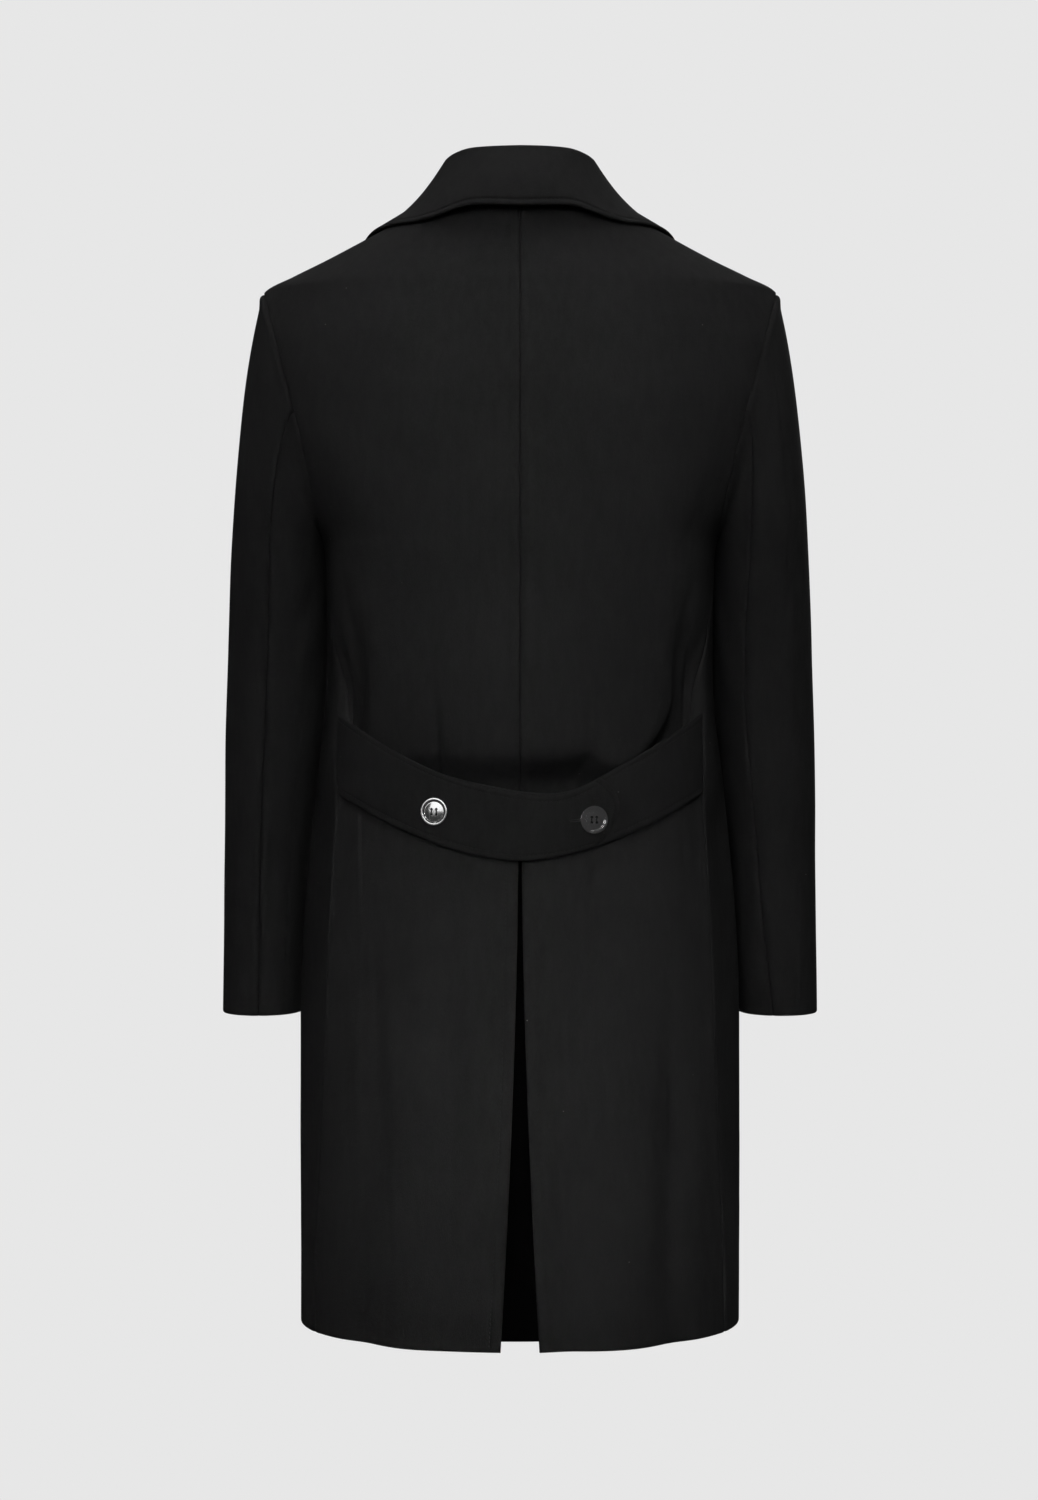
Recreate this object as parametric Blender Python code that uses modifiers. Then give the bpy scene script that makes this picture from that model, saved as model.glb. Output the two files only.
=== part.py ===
"""Double-breasted wool overcoat, hollow as it is worn, with a buttoned half belt and a back pleat.

Metres, +Z up. The coat faces -Y, the wearer's left is +X, and the origin is the middle of the neck
opening, level with the seam at the centre back of the neck. Each cut piece of cloth is one wall.
"""

import math

import bmesh
import bpy
import numpy as np
from mathutils import Vector

# Cloth and seams
CLOTH = 0.0026
COLLAR_CLOTH = 0.0040
BELT_CLOTH = 0.0038
SEAM_GAP = 0.0003
HALF_GAP = SEAM_GAP / 2
LIE_GAP = 0.0008

# The body's outer shell: ovals, a row for each level from the hem to the neck
BODY_COLUMNS = ("height", "half_width", "back_depth", "front_depth", "squareness")
BODY_ROWS = (
    (-1.016, 0.2013, 0.1650, 0.1520, 2.00),
    (-0.870, 0.2013, 0.1570, 0.1490, 2.02),
    (-0.735, 0.2010, 0.1480, 0.1460, 2.05),
    (-0.640, 0.1970, 0.1370, 0.1420, 2.08),
    (-0.535, 0.1880, 0.1210, 0.1390, 2.12),
    (-0.420, 0.1772, 0.1350, 0.1410, 2.40),
    (-0.360, 0.1768, 0.1400, 0.1440, 2.60),
    (-0.330, 0.1772, 0.1420, 0.1450, 2.70),
    (-0.308, 0.1790, 0.1430, 0.1460, 2.75),
    (-0.280, 0.1925, 0.1435, 0.1455, 2.75),
    (-0.254, 0.2075, 0.1430, 0.1440, 2.70),
    (-0.190, 0.2360, 0.1400, 0.1380, 2.55),
    (-0.127, 0.2480, 0.1280, 0.1220, 2.40),
    (-0.075, 0.2346, 0.1100, 0.0980, 2.30),
    (-0.062, 0.2110, 0.1045, 0.0920, 2.30),
    (-0.046, 0.1785, 0.0970, 0.0830, 2.30),
    (-0.022, 0.1340, 0.0870, 0.0710, 2.30),
    (0.012, 0.0780, 0.0690, 0.0540, 2.30),
)
HEM = BODY_ROWS[0][0]
UNDERARM = -0.308
UNDERARM_X = 0.1790
SHOULDER = -0.075
SHOULDER_X = 0.2346
ARMHOLE_BEND = 1.25
NECK_POINT_X = 0.078
NECK_POINT = 0.012
NECK_BACK = -0.002

# Side seams, as the oval's angle from the centre back
SIDE_SEAM_COLUMNS = ("height", "angle")
SIDE_SEAM_ROWS = (
    (-1.016, 66.5),
    (-0.930, 65.0),
    (-0.700, 59.5),
    (-0.550, 60.5),
    (-0.470, 63.5),
    (-0.380, 73.5),
    (-0.308, 90.0),
)

# The largest folds: angle from the centre back (left is positive), ends, half width and depth
FOLD_COLUMNS = ("angle", "lowest", "highest", "half_angle", "depth")
FOLD_ROWS = (
    (53.0, -0.56, -0.36, 6.0, -0.011),
    (-53.0, -0.56, -0.36, 6.0, -0.011),
    (20.0, -0.56, -0.42, 5.0, -0.004),
    (-18.0, -0.56, -0.42, 5.0, -0.004),
    (0.0, -0.61, -0.487, 20.0, -0.018),
    (17.0, -0.86, -0.57, 5.5, -0.005),
    (-12.0, -1.20, -0.60, 5.0, -0.004),
    (29.0, -1.20, -0.62, 9.0, 0.005),
    (-27.0, -1.20, -0.60, 9.0, 0.006),
    (44.0, -1.20, -0.66, 6.0, -0.004),
    (-43.0, -1.20, -0.66, 6.0, -0.004),
)

# The inverted pleat below the half belt
PLEAT_TOP = -0.572
PLEAT_HALF_OPEN_TOP = 0.0014
PLEAT_HALF_OPEN_HEM = 0.0170
PLEAT_SPREAD = 1.7
PLEAT_RETURN = 0.042
PLEAT_TURN_TOP = 0.0045
PLEAT_TURN_HEM = 0.0140
PLEAT_HEM_RISE = 0.004

# Double-breasted fronts
FRONT_OVERLAP = 0.085
LAPEL_BREAK = -0.330
OVERLAP_START = 0.130
OVERLAP_FULL = 0.092
ROLL_RADIUS = 0.0034
GORGE = -0.055
LAPEL_TIP = (0.166, -0.150)
LAPEL_LOW_WIDTH = 0.006
NOTCH = (0.122, -0.086)
NOTCH_SHARE = 0.62

# Sleeve rings below the armhole
SLEEVE_COLUMNS = ("height", "centre_x", "centre_y", "half_width", "half_depth")
SLEEVE_ROWS = (
    (-0.734, 0.2378, -0.036, 0.0371, 0.0580),
    (-0.600, 0.2340, -0.030, 0.0400, 0.0630),
    (-0.535, 0.2308, -0.026, 0.0425, 0.0665),
    (-0.465, 0.2266, -0.023, 0.0456, 0.0705),
    (-0.400, 0.2238, -0.020, 0.0461, 0.0740),
    (-0.335, 0.2226, -0.012, 0.0445, 0.0770),
)
CUFF = SLEEVE_ROWS[0][0]
BICEP = SLEEVE_ROWS[-1][0]
CAP_SHARE = 0.36
CAP_LEAVE = 0.010
CAP_SETTLE = 0.68
ARM_STATIONS = 12
BACK_SEAM_STATION = 6
FRONT_SEAM_STATION = 16
SLEEVE_SEAM_COLUMNS = ("height", "left_back", "right_back", "front")
SLEEVE_SEAM_ROWS = (
    (-0.734, 90.0, 102.0, 236.0),
    (-0.600, 87.0, 116.0, 238.0),
    (-0.465, 85.0, 119.0, 240.0),
    (-0.335, 86.0, 112.0, 240.0),
)

# Collar: where it starts at the neck, folds over and ends, from the centre back to the gorge
COLLAR_COLUMNS = ("along", "base_x", "base_y", "base_z", "fold_x", "fold_y", "fold_z",
                  "edge_x", "edge_y", "edge_z", "bulge")
COLLAR_ROWS = (
    (0.00, 0.0000, 0.0760, -0.0020, 0.0000, 0.0660, 0.0480, 0.0000, 0.0945, -0.0110, 0.003),
    (0.28, 0.0560, 0.0590, 0.0050, 0.0500, 0.0480, 0.0490, 0.0830, 0.0780, -0.0130, -0.001),
    (0.55, 0.0780, 0.0000, 0.0120, 0.0700, 0.0020, 0.0455, 0.1315, 0.0080, -0.0165, -0.007),
    (0.78, 0.0605, -0.0605, -0.0190, 0.0665, -0.0530, 0.0070, 0.1520, -0.0600, -0.0450, -0.003),
    (1.00, 0.0460, -0.0845, -0.0540, 0.0510, -0.0930, -0.0530, 0.1600, -0.0930, -0.0960, 0.001),
)
COLLAR_ROLL = 0.0062
STAND_END = 0.86

# Half belt, in two overlapping ends that are sewn into the side seams
BELT_WIDTH = 0.066
BELT_DEPTH = 0.140
BELT_SQUARENESS = 2.3
BELT_END_X = 0.1650
BELT_END_HEIGHT = -0.496
BELT_MIDDLE_HEIGHT = -0.560
BELT_DROOP = 1.7
BELT_LEFT_TIP = -0.088
BELT_RIGHT_TIP = 0.072
BELT_TIP_LENGTH = 0.018
BELT_OVERLAP_EASE = 0.045

# Buttons: four-hole, turned, with a raised rim
BUTTON_RADIUS = 0.0125
BUTTON_RIM = 0.0022
BUTTON_THICK = 0.0042
BUTTON_DISH = 0.0016
BUTTON_HOLE_RADIUS = 0.0011
BUTTON_HOLE_OUT = 0.0021
BUTTON_SIDES = 16
HOLE_SIDES = 4
BELT_BUTTON_LEFT = (0.0743, -0.547)
BELT_BUTTON_RIGHT = (-0.0640, -0.554)
FRONT_BUTTON_X = 0.060
FRONT_BUTTON_COLUMNS = ("height", "sink")
FRONT_BUTTON_ROWS = (
    (-0.375, 0.0000),
    (-0.490, 0.0002),
    (-0.605, 0.0006),
)

# Grid counts
BORDER = 0.07
LOWER_ROWS = 12
UPPER_ROWS = ARM_STATIONS
BACK_COLUMNS = 12
FRONT_COLUMNS = 12
CAP_ROWS = 6
TUBE_ROWS = 6
PLEAT_ROWS = 8

WOOL = (0.016, 0.016, 0.017, 1.0)
HORN = (0.045, 0.045, 0.048, 1.0)


def through(xs, ys, at):
    """A smooth curve through points, with no overshoot, read at one or many places."""
    xs, ys, at = np.asarray(xs, float), np.asarray(ys, float), np.asarray(at, float)
    step = np.diff(xs)
    slope = np.diff(ys) / step
    lean = np.empty_like(ys)
    lean[0], lean[-1] = slope[0], slope[-1]
    same = slope[:-1] * slope[1:] > 0
    mean = np.where(same, 2 * slope[:-1] * slope[1:] / np.where(same, slope[:-1] + slope[1:], 1), 0)
    lean[1:-1] = mean
    i = np.clip(np.searchsorted(xs, at) - 1, 0, len(step) - 1)
    t = np.clip((at - xs[i]) / step[i], 0, 1)
    rise = (1 + 2 * t) * (1 - t) ** 2 * ys[i] + t * t * (3 - 2 * t) * ys[i + 1]
    return rise + step[i] * (t * (1 - t) ** 2 * lean[i] - t * t * (1 - t) * lean[i + 1])


def read(columns, rows, name, at):
    """One named column of a table, read smoothly at the given places in its first column."""
    table = np.array(rows)
    return through(table[:, 0], table[:, columns.index(name)], at)


def body(name, height):
    return read(BODY_COLUMNS, BODY_ROWS, name, height)


def ease(low, high, at):
    """0 before low, 1 after high, and a soft rise between."""
    t = np.clip((np.asarray(at, float) - low) / (high - low), 0, 1)
    return t * t * (3 - 2 * t)


def stack(x, y, z):
    return np.stack(np.broadcast_arrays(x, y, z), axis=-1).astype(float)


def unit(v):
    return v / np.maximum(np.linalg.norm(v, axis=-1, keepdims=True), 1e-12)


def level(p):
    """The oval that a point lies on, as a share of the shell's size: 1 is on the shell."""
    depth = np.where(p[..., 1] > 0, body("back_depth", p[..., 2]), body("front_depth", p[..., 2]))
    across = np.abs(p[..., 0]) / body("half_width", p[..., 2])
    power = body("squareness", p[..., 2])
    return (across ** power + (np.abs(p[..., 1]) / depth) ** power) ** (1 / power)


def slope_of_level(p, step=1e-4):
    return np.stack([(level(p + d) - level(p - d)) / (2 * step) for d in np.eye(3) * step], axis=-1)


def lift(p, by):
    """Points moved out along the shell's normal."""
    return p + unit(slope_of_level(p)) * np.asarray(by)[..., None]


def keep_clear(p, least):
    """Points nearer to the shell than the least distance, or inside it, moved out to that distance."""
    for _ in range(3):
        grade = slope_of_level(p)
        size = np.maximum(np.linalg.norm(grade, axis=-1), 1e-9)
        short = np.maximum(least - (level(p) - 1) / size, 0)
        short = short * (1 - ease(NECK_POINT - 0.006, NECK_POINT, p[..., 2]))
        p = p + grade / size[..., None] * short[..., None]
    return p


def depth_at(x, z, facing):
    """How far out the shell lies at x and z, behind (facing 1) or in front (facing -1)."""
    across = np.clip(np.abs(x) / body("half_width", z), 0, 1)
    side = body("back_depth" if facing > 0 else "front_depth", z)
    power = body("squareness", z)
    return facing * side * (1 - across ** power) ** (1 / power)


def angle_at(x, z):
    """The oval's angle from its middle, in degrees, signed as x is."""
    across = np.clip(np.abs(x) / body("half_width", z), 0, 1)
    return np.sign(x) * np.degrees(np.arcsin(across ** (body("squareness", z) / 2)))


def fold_depth(angle, z):
    """How far the largest folds push the shell out, or pull it in, at an angle and height."""
    total = np.zeros(np.broadcast(angle, z).shape)
    for centre, lowest, highest, half_angle, depth in FOLD_ROWS:
        run = (highest - lowest) * 0.4
        along = ease(lowest, lowest + run, z) * (1 - ease(highest - run, highest, z))
        total = total + depth * along * np.exp(-(((angle - centre) / half_angle) ** 2))
    return total


def folded(p, angle):
    """Points moved level, out or in, by the largest folds."""
    return p + unit(slope_of_level(p) * (1, 1, 0)) * fold_depth(angle, p[..., 2])[..., None]


def shoulder_height(x):
    """The ridge of the shoulder, from the neck point out to the top of the sleeve."""
    heights = np.linspace(NECK_POINT, SHOULDER, 200)
    return np.interp(x, body("half_width", heights), heights)


def armhole_x(z):
    share = np.clip((z - UNDERARM) / (SHOULDER - UNDERARM), 0, 1)
    return UNDERARM_X + (SHOULDER_X - UNDERARM_X) * share ** ARMHOLE_BEND


def pleat_open(z):
    share = np.clip((PLEAT_TOP - z) / (PLEAT_TOP - HEM), 0, 1)
    spread = PLEAT_HALF_OPEN_TOP + (PLEAT_HALF_OPEN_HEM - PLEAT_HALF_OPEN_TOP) * share ** PLEAT_SPREAD
    return np.where(z < PLEAT_TOP, spread, HALF_GAP)


def armhole_share(k):
    """Station 0 is the underarm and the last one is the shoulder, close together at both ends."""
    return (1 - np.cos(np.pi * np.clip(k / ARM_STATIONS, 0, 1))) / 2


def row_levels(v):
    """A panel's row as (height at the side below the underarm, share of the way up the armhole)."""
    k = v * (LOWER_ROWS + UPPER_ROWS) - LOWER_ROWS
    low = HEM + (UNDERARM - HEM) * np.clip(v * (LOWER_ROWS + UPPER_ROWS) / LOWER_ROWS, 0, 1)
    return low, np.where(k > 0, armhole_share(k), 0.0)


def back_panel(u, v, side):
    """Left or right back: u runs from the centre back to the side seam and armhole, v from the hem up."""
    low, up = row_levels(v)
    outer_z = low + (SHOULDER - UNDERARM) * up
    arc_gap = np.degrees(1.8 * HALF_GAP / body("half_width", low))
    seam = np.radians(read(SIDE_SEAM_COLUMNS, SIDE_SEAM_ROWS, "angle", low) - arc_gap)
    seam_x = body("half_width", low) * np.sin(seam) ** (2 / body("squareness", low))
    outer_x = np.where(up > 0, armhole_x(outer_z), seam_x)
    spread = np.radians(np.abs(angle_at(outer_x, outer_z)))
    along = (np.sin(spread * u) / np.sin(spread)) ** 0.87
    top_x = SHOULDER_X * np.sin(np.pi / 2 * u) ** 0.87
    neck_z = NECK_BACK + (NECK_POINT - NECK_BACK) * (top_x / NECK_POINT_X) ** 2
    top_z = np.where(top_x < NECK_POINT_X, neck_z, shoulder_height(top_x))
    z = low + (top_z - UNDERARM) * up
    inner = pleat_open(z) * (1 + 1.5 * up)
    x = inner + (outer_x - inner) * along
    y = np.maximum(depth_at(x, z, 1), np.where(up > 1 - 1e-9, HALF_GAP, 0))
    p = stack(side * x, y, z)
    return folded(p, side * angle_at(x, z))


def front_edge_x(z):
    """The edge of the overlapping front, then the roll line of the lapel up to the neck point."""
    share = np.clip((z - LAPEL_BREAK) / (NECK_POINT - LAPEL_BREAK), 0, 1)
    return -FRONT_OVERLAP + (NECK_POINT_X + FRONT_OVERLAP) * share


def under_front(x, side):
    """The right front passes under the left one, so it lies a cloth's thickness further in."""
    if side > 0:
        return np.zeros_like(np.asarray(x, float))
    return (CLOTH + 2 * LIE_GAP) * ease(-OVERLAP_START, -OVERLAP_FULL, x)


def front_point(x, z, side, out=0.0):
    """A point on the left or right front, x counted towards that front's own side."""
    p = stack(side * x, depth_at(x, z, -1), z)
    return lift(p, out - under_front(side * x, side))


def front_panel(u, v, side):
    """Left or right front: u runs from the side seam and armhole to the front edge and roll line."""
    low, up = row_levels(v)
    outer_z = low + (SHOULDER - UNDERARM) * up
    arc_gap = np.degrees(1.8 * HALF_GAP / body("half_width", low))
    seam = read(SIDE_SEAM_COLUMNS, SIDE_SEAM_ROWS, "angle", low) + arc_gap
    outer = np.where(up > 0, 180 - angle_at(armhole_x(outer_z), outer_z), seam)
    inner_z = low + (NECK_POINT - UNDERARM) * up
    inner_x = front_edge_x(inner_z)
    inner = 180 - angle_at(inner_x, inner_z)
    angle = np.radians(outer + (inner - outer) * u)
    top_z = shoulder_height(SHOULDER_X + (NECK_POINT_X - SHOULDER_X) * u)
    z = low + (top_z - UNDERARM) * up
    sine, cosine = np.sin(angle), np.cos(angle)
    power = 2 / body("squareness", z)
    x = body("half_width", z) * np.sign(sine) * np.abs(sine) ** power
    depth = np.where(cosine > 0, body("back_depth", z), body("front_depth", z))
    y = depth * np.sign(cosine) * np.abs(cosine) ** power
    y = np.where(up > 1 - 1e-9, -HALF_GAP, y)
    p = folded(stack(side * x, y, z), side * np.degrees(angle))
    return lift(p, -under_front(side * x, side) * (cosine < 0))


def pleat_underlay(u, v):
    """The pleat behind the back opening, its rows level with the backs': in along one, round, and to the other."""
    row = (UNDERARM - HEM) / LOWER_ROWS
    levels = (HEM + PLEAT_HEM_RISE, HEM + row, HEM + (PLEAT_ROWS - 1) * row, PLEAT_TOP)
    z = np.interp(v * PLEAT_ROWS, (0, 1, PLEAT_ROWS - 1, PLEAT_ROWS), levels)
    half = np.abs(2 * u - 1)
    side = np.where(u < 0.5, -1.0, 1.0)
    turn = PLEAT_TURN_TOP + (PLEAT_TURN_HEM - PLEAT_TURN_TOP) * (1 - v)
    edge = pleat_open(z) + SEAM_GAP
    far = edge + PLEAT_RETURN
    bend = np.clip((0.62 - half) / 0.30, 0, 1) * np.pi
    out = np.where(half > 0.62, edge + (far - edge) * (1 - half) / 0.38, far)
    out = np.where(half < 0.32, far * half / 0.32, out)
    x = out + np.where((half > 0.32) & (half <= 0.62), turn * np.sin(bend), 0)
    wall = depth_at(out, z, 1) + fold_depth(angle_at(side * out, z), z) - CLOTH - 2 * LIE_GAP
    return stack(side * x, wall - turn * (1 - np.cos(bend)), z)


def lapel(u, v, side):
    """A lapel on its front: u runs across from inside the roll line, v from the break to the gorge."""
    gorge_x = front_edge_x(np.array(GORGE - 0.003))
    if side > 0:
        roll_z = LAPEL_BREAK + 0.006 + (GORGE - LAPEL_BREAK - 0.006) * v
        low = (front_edge_x(np.array(LAPEL_BREAK)) + LAPEL_LOW_WIDTH, LAPEL_BREAK)
    else:
        crossing = LAPEL_BREAK + (NECK_POINT - LAPEL_BREAK) * FRONT_OVERLAP / (NECK_POINT_X + FRONT_OVERLAP)
        roll_z = crossing + 0.012 + (GORGE - crossing - 0.012) * v
        low = (0.053, -0.243)
    roll_x = front_edge_x(roll_z)
    outer_x = low[0] + (LAPEL_TIP[0] - low[0]) * v
    outer_z = low[1] + (LAPEL_TIP[1] - low[1]) * v
    fold = 0.2
    across = np.clip((u - fold) / (1 - fold), 0, 1)
    top_x = np.interp(across, (0, NOTCH_SHARE, 1), (gorge_x, NOTCH[0], LAPEL_TIP[0]))
    top_z = np.interp(across, (0, NOTCH_SHARE, 1), (GORGE - 0.003, NOTCH[1] - 0.002, LAPEL_TIP[1]))
    pull = v ** 3
    x = (roll_x + (outer_x - roll_x) * across) * (1 - pull) + pull * top_x
    z = (roll_z + (outer_z - roll_z) * across) * (1 - pull) + pull * top_z - 3 * SEAM_GAP
    turn = np.clip(1 - u / fold, 0, 1) * np.pi * (0.6 - 0.4 * ease(0.8, 1.0, v))
    flat = front_point(x, z, side, 1.4 * LIE_GAP + CLOTH)
    inward = unit(front_point(x - 0.002, z + 0.001, side) - front_point(x, z, side))
    down = unit(front_point(x, z, side) - flat)
    return flat + (inward * np.sin(turn)[..., None] + down * (1 - np.cos(turn))[..., None]) * ROLL_RADIUS


def collar_line(name, along):
    return stack(*(read(COLLAR_COLUMNS, COLLAR_ROWS, f"{name}_{axis}", np.abs(along)) for axis in "xyz"))


def mirrored(p, along):
    return p * stack(np.where(along < 0, -1.0, 1.0), 1.0, 1.0)


def collar_leaf(u, v):
    """The collar from inside its fold, over the fold and down to its outer edge; u runs right to left."""
    along = 2 * u - 1
    fold, edge = collar_line("fold", along), collar_line("edge", along)
    out = unit((edge - fold) * (1, 1, 0))
    roll = 0.34
    turn = np.clip(1 - v / roll, 0, 1) * np.pi * (0.72 - 0.45 * ease(0.75, 1.0, np.abs(along)))
    fall = np.clip((v - roll) / (1 - roll), 0, 1)[..., None]
    bulge = np.sin(np.pi * fall) * read(COLLAR_COLUMNS, COLLAR_ROWS, "bulge", np.abs(along))[..., None]
    p = fold + (edge - fold) * fall + out * bulge + stack(0, 0, bulge[..., 0])
    start = unit(edge - fold)
    side = unit(np.cross(np.cross(start, out - start * (start * out).sum(-1, keepdims=True)), start))
    round_it = start * -np.sin(turn)[..., None] - side * (1 - np.cos(turn))[..., None]
    p = mirrored(p + round_it * COLLAR_ROLL, along)
    cleared = keep_clear(p, COLLAR_CLOTH + LIE_GAP + 0.0004)
    return np.where(v[..., None] > roll, cleared, p)


def collar_stand(u, v):
    """The band that stands up inside the collar, from the neck seam to the collar's inner edge."""
    along = (2 * u - 1) * STAND_END
    lip = collar_leaf((along + 1) / 2, np.zeros_like(u))
    base = mirrored(collar_line("base", along), along) + (0, 0, 3 * SEAM_GAP)
    run = unit(lip - collar_leaf((along + 1) / 2, np.full_like(u, 0.02)))
    top = lip + run * 4.5 * SEAM_GAP
    bend = top + run * np.linalg.norm(top - base, axis=-1, keepdims=True) * 0.45
    t = v[..., None]
    return (1 - t) ** 2 * base + 2 * t * (1 - t) * bend + t * t * top


def armhole(k, side):
    """The armhole by station: 0 at the underarm, up the back to the shoulder, and down the front."""
    up = armhole_share(np.where(k > ARM_STATIONS, 2 * ARM_STATIONS - k, k))
    z = UNDERARM + (SHOULDER - UNDERARM) * up
    x = armhole_x(z)
    y = np.where(k > ARM_STATIONS, depth_at(x, z, -1), depth_at(x, z, 1))
    y = np.where((up < 1e-9) | (up > 1 - 1e-9), 0, y)
    return stack(x, y, z)


def sleeve_leave(k, side):
    """The way the cloth runs off the armhole's edge into the sleeve."""
    p = armhole(k, side)
    near = stack(p[..., 0], np.where(np.abs(p[..., 1]) < 1e-6, 1e-6, p[..., 1]), p[..., 2])
    tangent = armhole(np.minimum(k + 0.05, 2 * ARM_STATIONS), side) - armhole(np.maximum(k - 0.05, 0), side)
    leave = unit(np.cross(tangent, slope_of_level(near)))
    middle = np.array((armhole_x((UNDERARM + SHOULDER) / 2), 0, (UNDERARM + SHOULDER) / 2))
    return leave * np.sign(((middle - p) * leave).sum(-1, keepdims=True))


def sleeve_angle(k, z, side):
    """The ring angle of a station, in degrees from the outside: back seam and front seam keep their places."""
    back_name = "left_back" if side > 0 else "right_back"
    back = read(SLEEVE_SEAM_COLUMNS, SLEEVE_SEAM_ROWS, back_name, z)
    front = read(SLEEVE_SEAM_COLUMNS, SLEEVE_SEAM_ROWS, "front", z)
    turns = (np.full_like(back, 180.0), back, np.zeros_like(back), front - 360, np.full_like(back, -180.0))
    marks = (0, BACK_SEAM_STATION, ARM_STATIONS, FRONT_SEAM_STATION + ARM_STATIONS / 6, 2 * ARM_STATIONS)
    found = np.zeros(np.broadcast(k, z).shape)
    for i in range(len(marks) - 1):
        share = (k - marks[i]) / (marks[i + 1] - marks[i])
        here = (k >= marks[i]) & (k <= marks[i + 1])
        found = np.where(here, turns[i] + (turns[i + 1] - turns[i]) * share, found)
    return found


def sleeve_ring(k, z, side):
    angle = np.radians(sleeve_angle(k, z, side))
    size = {name: read(SLEEVE_COLUMNS, SLEEVE_ROWS, name, z) for name in SLEEVE_COLUMNS[1:]}
    x = size["centre_x"] + size["half_width"] * np.cos(angle)
    return stack(x, size["centre_y"] + size["half_depth"] * np.sin(angle), z)


def sleeve_cloth(k, v, side):
    """A sleeve by armhole station and v, from the armhole over its cap and down to the cuff."""
    leave = sleeve_leave(k, side)
    apart = SEAM_GAP * (2.1 + 1.5 * np.exp(-((k - ARM_STATIONS) ** 2)))[..., None]
    start = armhole(k, side) + leave * apart
    bicep = sleeve_ring(k, np.full_like(v, BICEP), side)
    below = sleeve_ring(k, np.full_like(v, BICEP - 0.02), side)
    drop = np.abs(start[..., 2] - BICEP)[..., None]
    first = start + leave * CAP_LEAVE
    last = bicep + unit(bicep - below) * (drop * CAP_SETTLE)
    t = np.clip(v / CAP_SHARE, 0, 1)[..., None]
    cap = (1 - t) ** 3 * start + 3 * t * (1 - t) ** 2 * first + 3 * t * t * (1 - t) * last + t ** 3 * bicep
    down = np.clip((v - CAP_SHARE) / (1 - CAP_SHARE), 0, 1)
    tube = sleeve_ring(k, BICEP + (CUFF - BICEP) * down, side)
    p = np.where((v > CAP_SHARE)[..., None], tube, cap)
    return p * (side, 1, 1)


def sleeve_piece(first, last, side):
    """A top sleeve or under sleeve: the stations from one sleeve seam to the other."""
    def place(u, v):
        gap = HALF_GAP / 0.0085 * (1 + 3.6 * np.exp(-6 * v))
        k = (first + gap) + (last - first - 2 * gap) * u
        return sleeve_cloth(np.mod(k, 2 * ARM_STATIONS), v, side)
    return place


def belt_point(x, drop, out):
    """A point on the half belt's outer face: x across the back, drop from its middle line."""
    share = np.abs(x) / BELT_END_X
    middle = BELT_MIDDLE_HEIGHT + (BELT_END_HEIGHT - BELT_MIDDLE_HEIGHT) * share ** BELT_DROOP
    z = middle - drop
    end_y = depth_at(np.array(BELT_END_X), z, 1) + BELT_CLOTH + 2 * LIE_GAP
    bow = 1 / BELT_SQUARENESS
    reach = BELT_END_X / (1 - (end_y / BELT_DEPTH) ** BELT_SQUARENESS) ** bow
    y = (BELT_DEPTH + out) * (1 - np.clip(np.abs(x) / reach, 0, 1) ** BELT_SQUARENESS) ** bow
    return stack(x, y, z)


def belt_end(u, v, side):
    """One end of the half belt: u runs from the side seam to its shaped tip, v from its top edge down."""
    tip = BELT_LEFT_TIP if side > 0 else -BELT_RIGHT_TIP
    shape = np.where(v < 0.55, (0.55 - v) / 0.55, (v - 0.55) / 0.45) ** 1.6
    end = tip + BELT_TIP_LENGTH * shape * (1 if side > 0 else 0.3)
    x = side * (BELT_END_X + (end - BELT_END_X) * u)
    over = (BELT_CLOTH + 1.3 * LIE_GAP) * (1 - ease(BELT_RIGHT_TIP + 0.012, BELT_RIGHT_TIP + BELT_OVERLAP_EASE, x))
    return belt_point(x, BELT_WIDTH * (v - 0.5), over if side > 0 else 0.0)


def material(name, colour, roughness, metallic):
    made = bpy.data.materials.new(name)
    made.use_nodes = True
    shader = made.node_tree.nodes["Principled BSDF"]
    shader.inputs["Base Color"].default_value = colour
    shader.inputs["Roughness"].default_value = roughness
    shader.inputs["Metallic"].default_value = metallic
    return made


def bordered(at, count):
    """Even grid steps with a thin strip at each end, so that a wall's edge is square to its cloth."""
    step = np.rint(at * (count + 2))
    inner = np.clip(step - 1, BORDER, count - BORDER) / count
    return np.where(step == 0, 0.0, np.where(step == count + 2, 1.0, inner))


def cloth_wall(name, columns, rows, place, thickness, cloth, collection, flip=False):
    """A cut piece of cloth: a grid laid on its shape, with the wall's thickness on the inside."""
    grid = bmesh.new()
    bmesh.ops.create_grid(grid, x_segments=columns + 2, y_segments=rows + 2, size=0.5)
    flat = np.array([v.co for v in grid.verts]) + 0.5
    for vert, point in zip(grid.verts, place(bordered(flat[:, 0], columns), bordered(flat[:, 1], rows))):
        vert.co = point
    if flip:
        bmesh.ops.reverse_faces(grid, faces=grid.faces)
    mesh = bpy.data.meshes.new(name)
    grid.to_mesh(mesh)
    grid.free()
    mesh.materials.append(cloth)
    mesh.shade_smooth()
    made = bpy.data.objects.new(name, mesh)
    collection.objects.link(made)
    wall = made.modifiers.new("wall", "SOLIDIFY")
    wall.thickness = thickness
    wall.offset = -1
    wall.use_quality_normals = True
    return made


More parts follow.
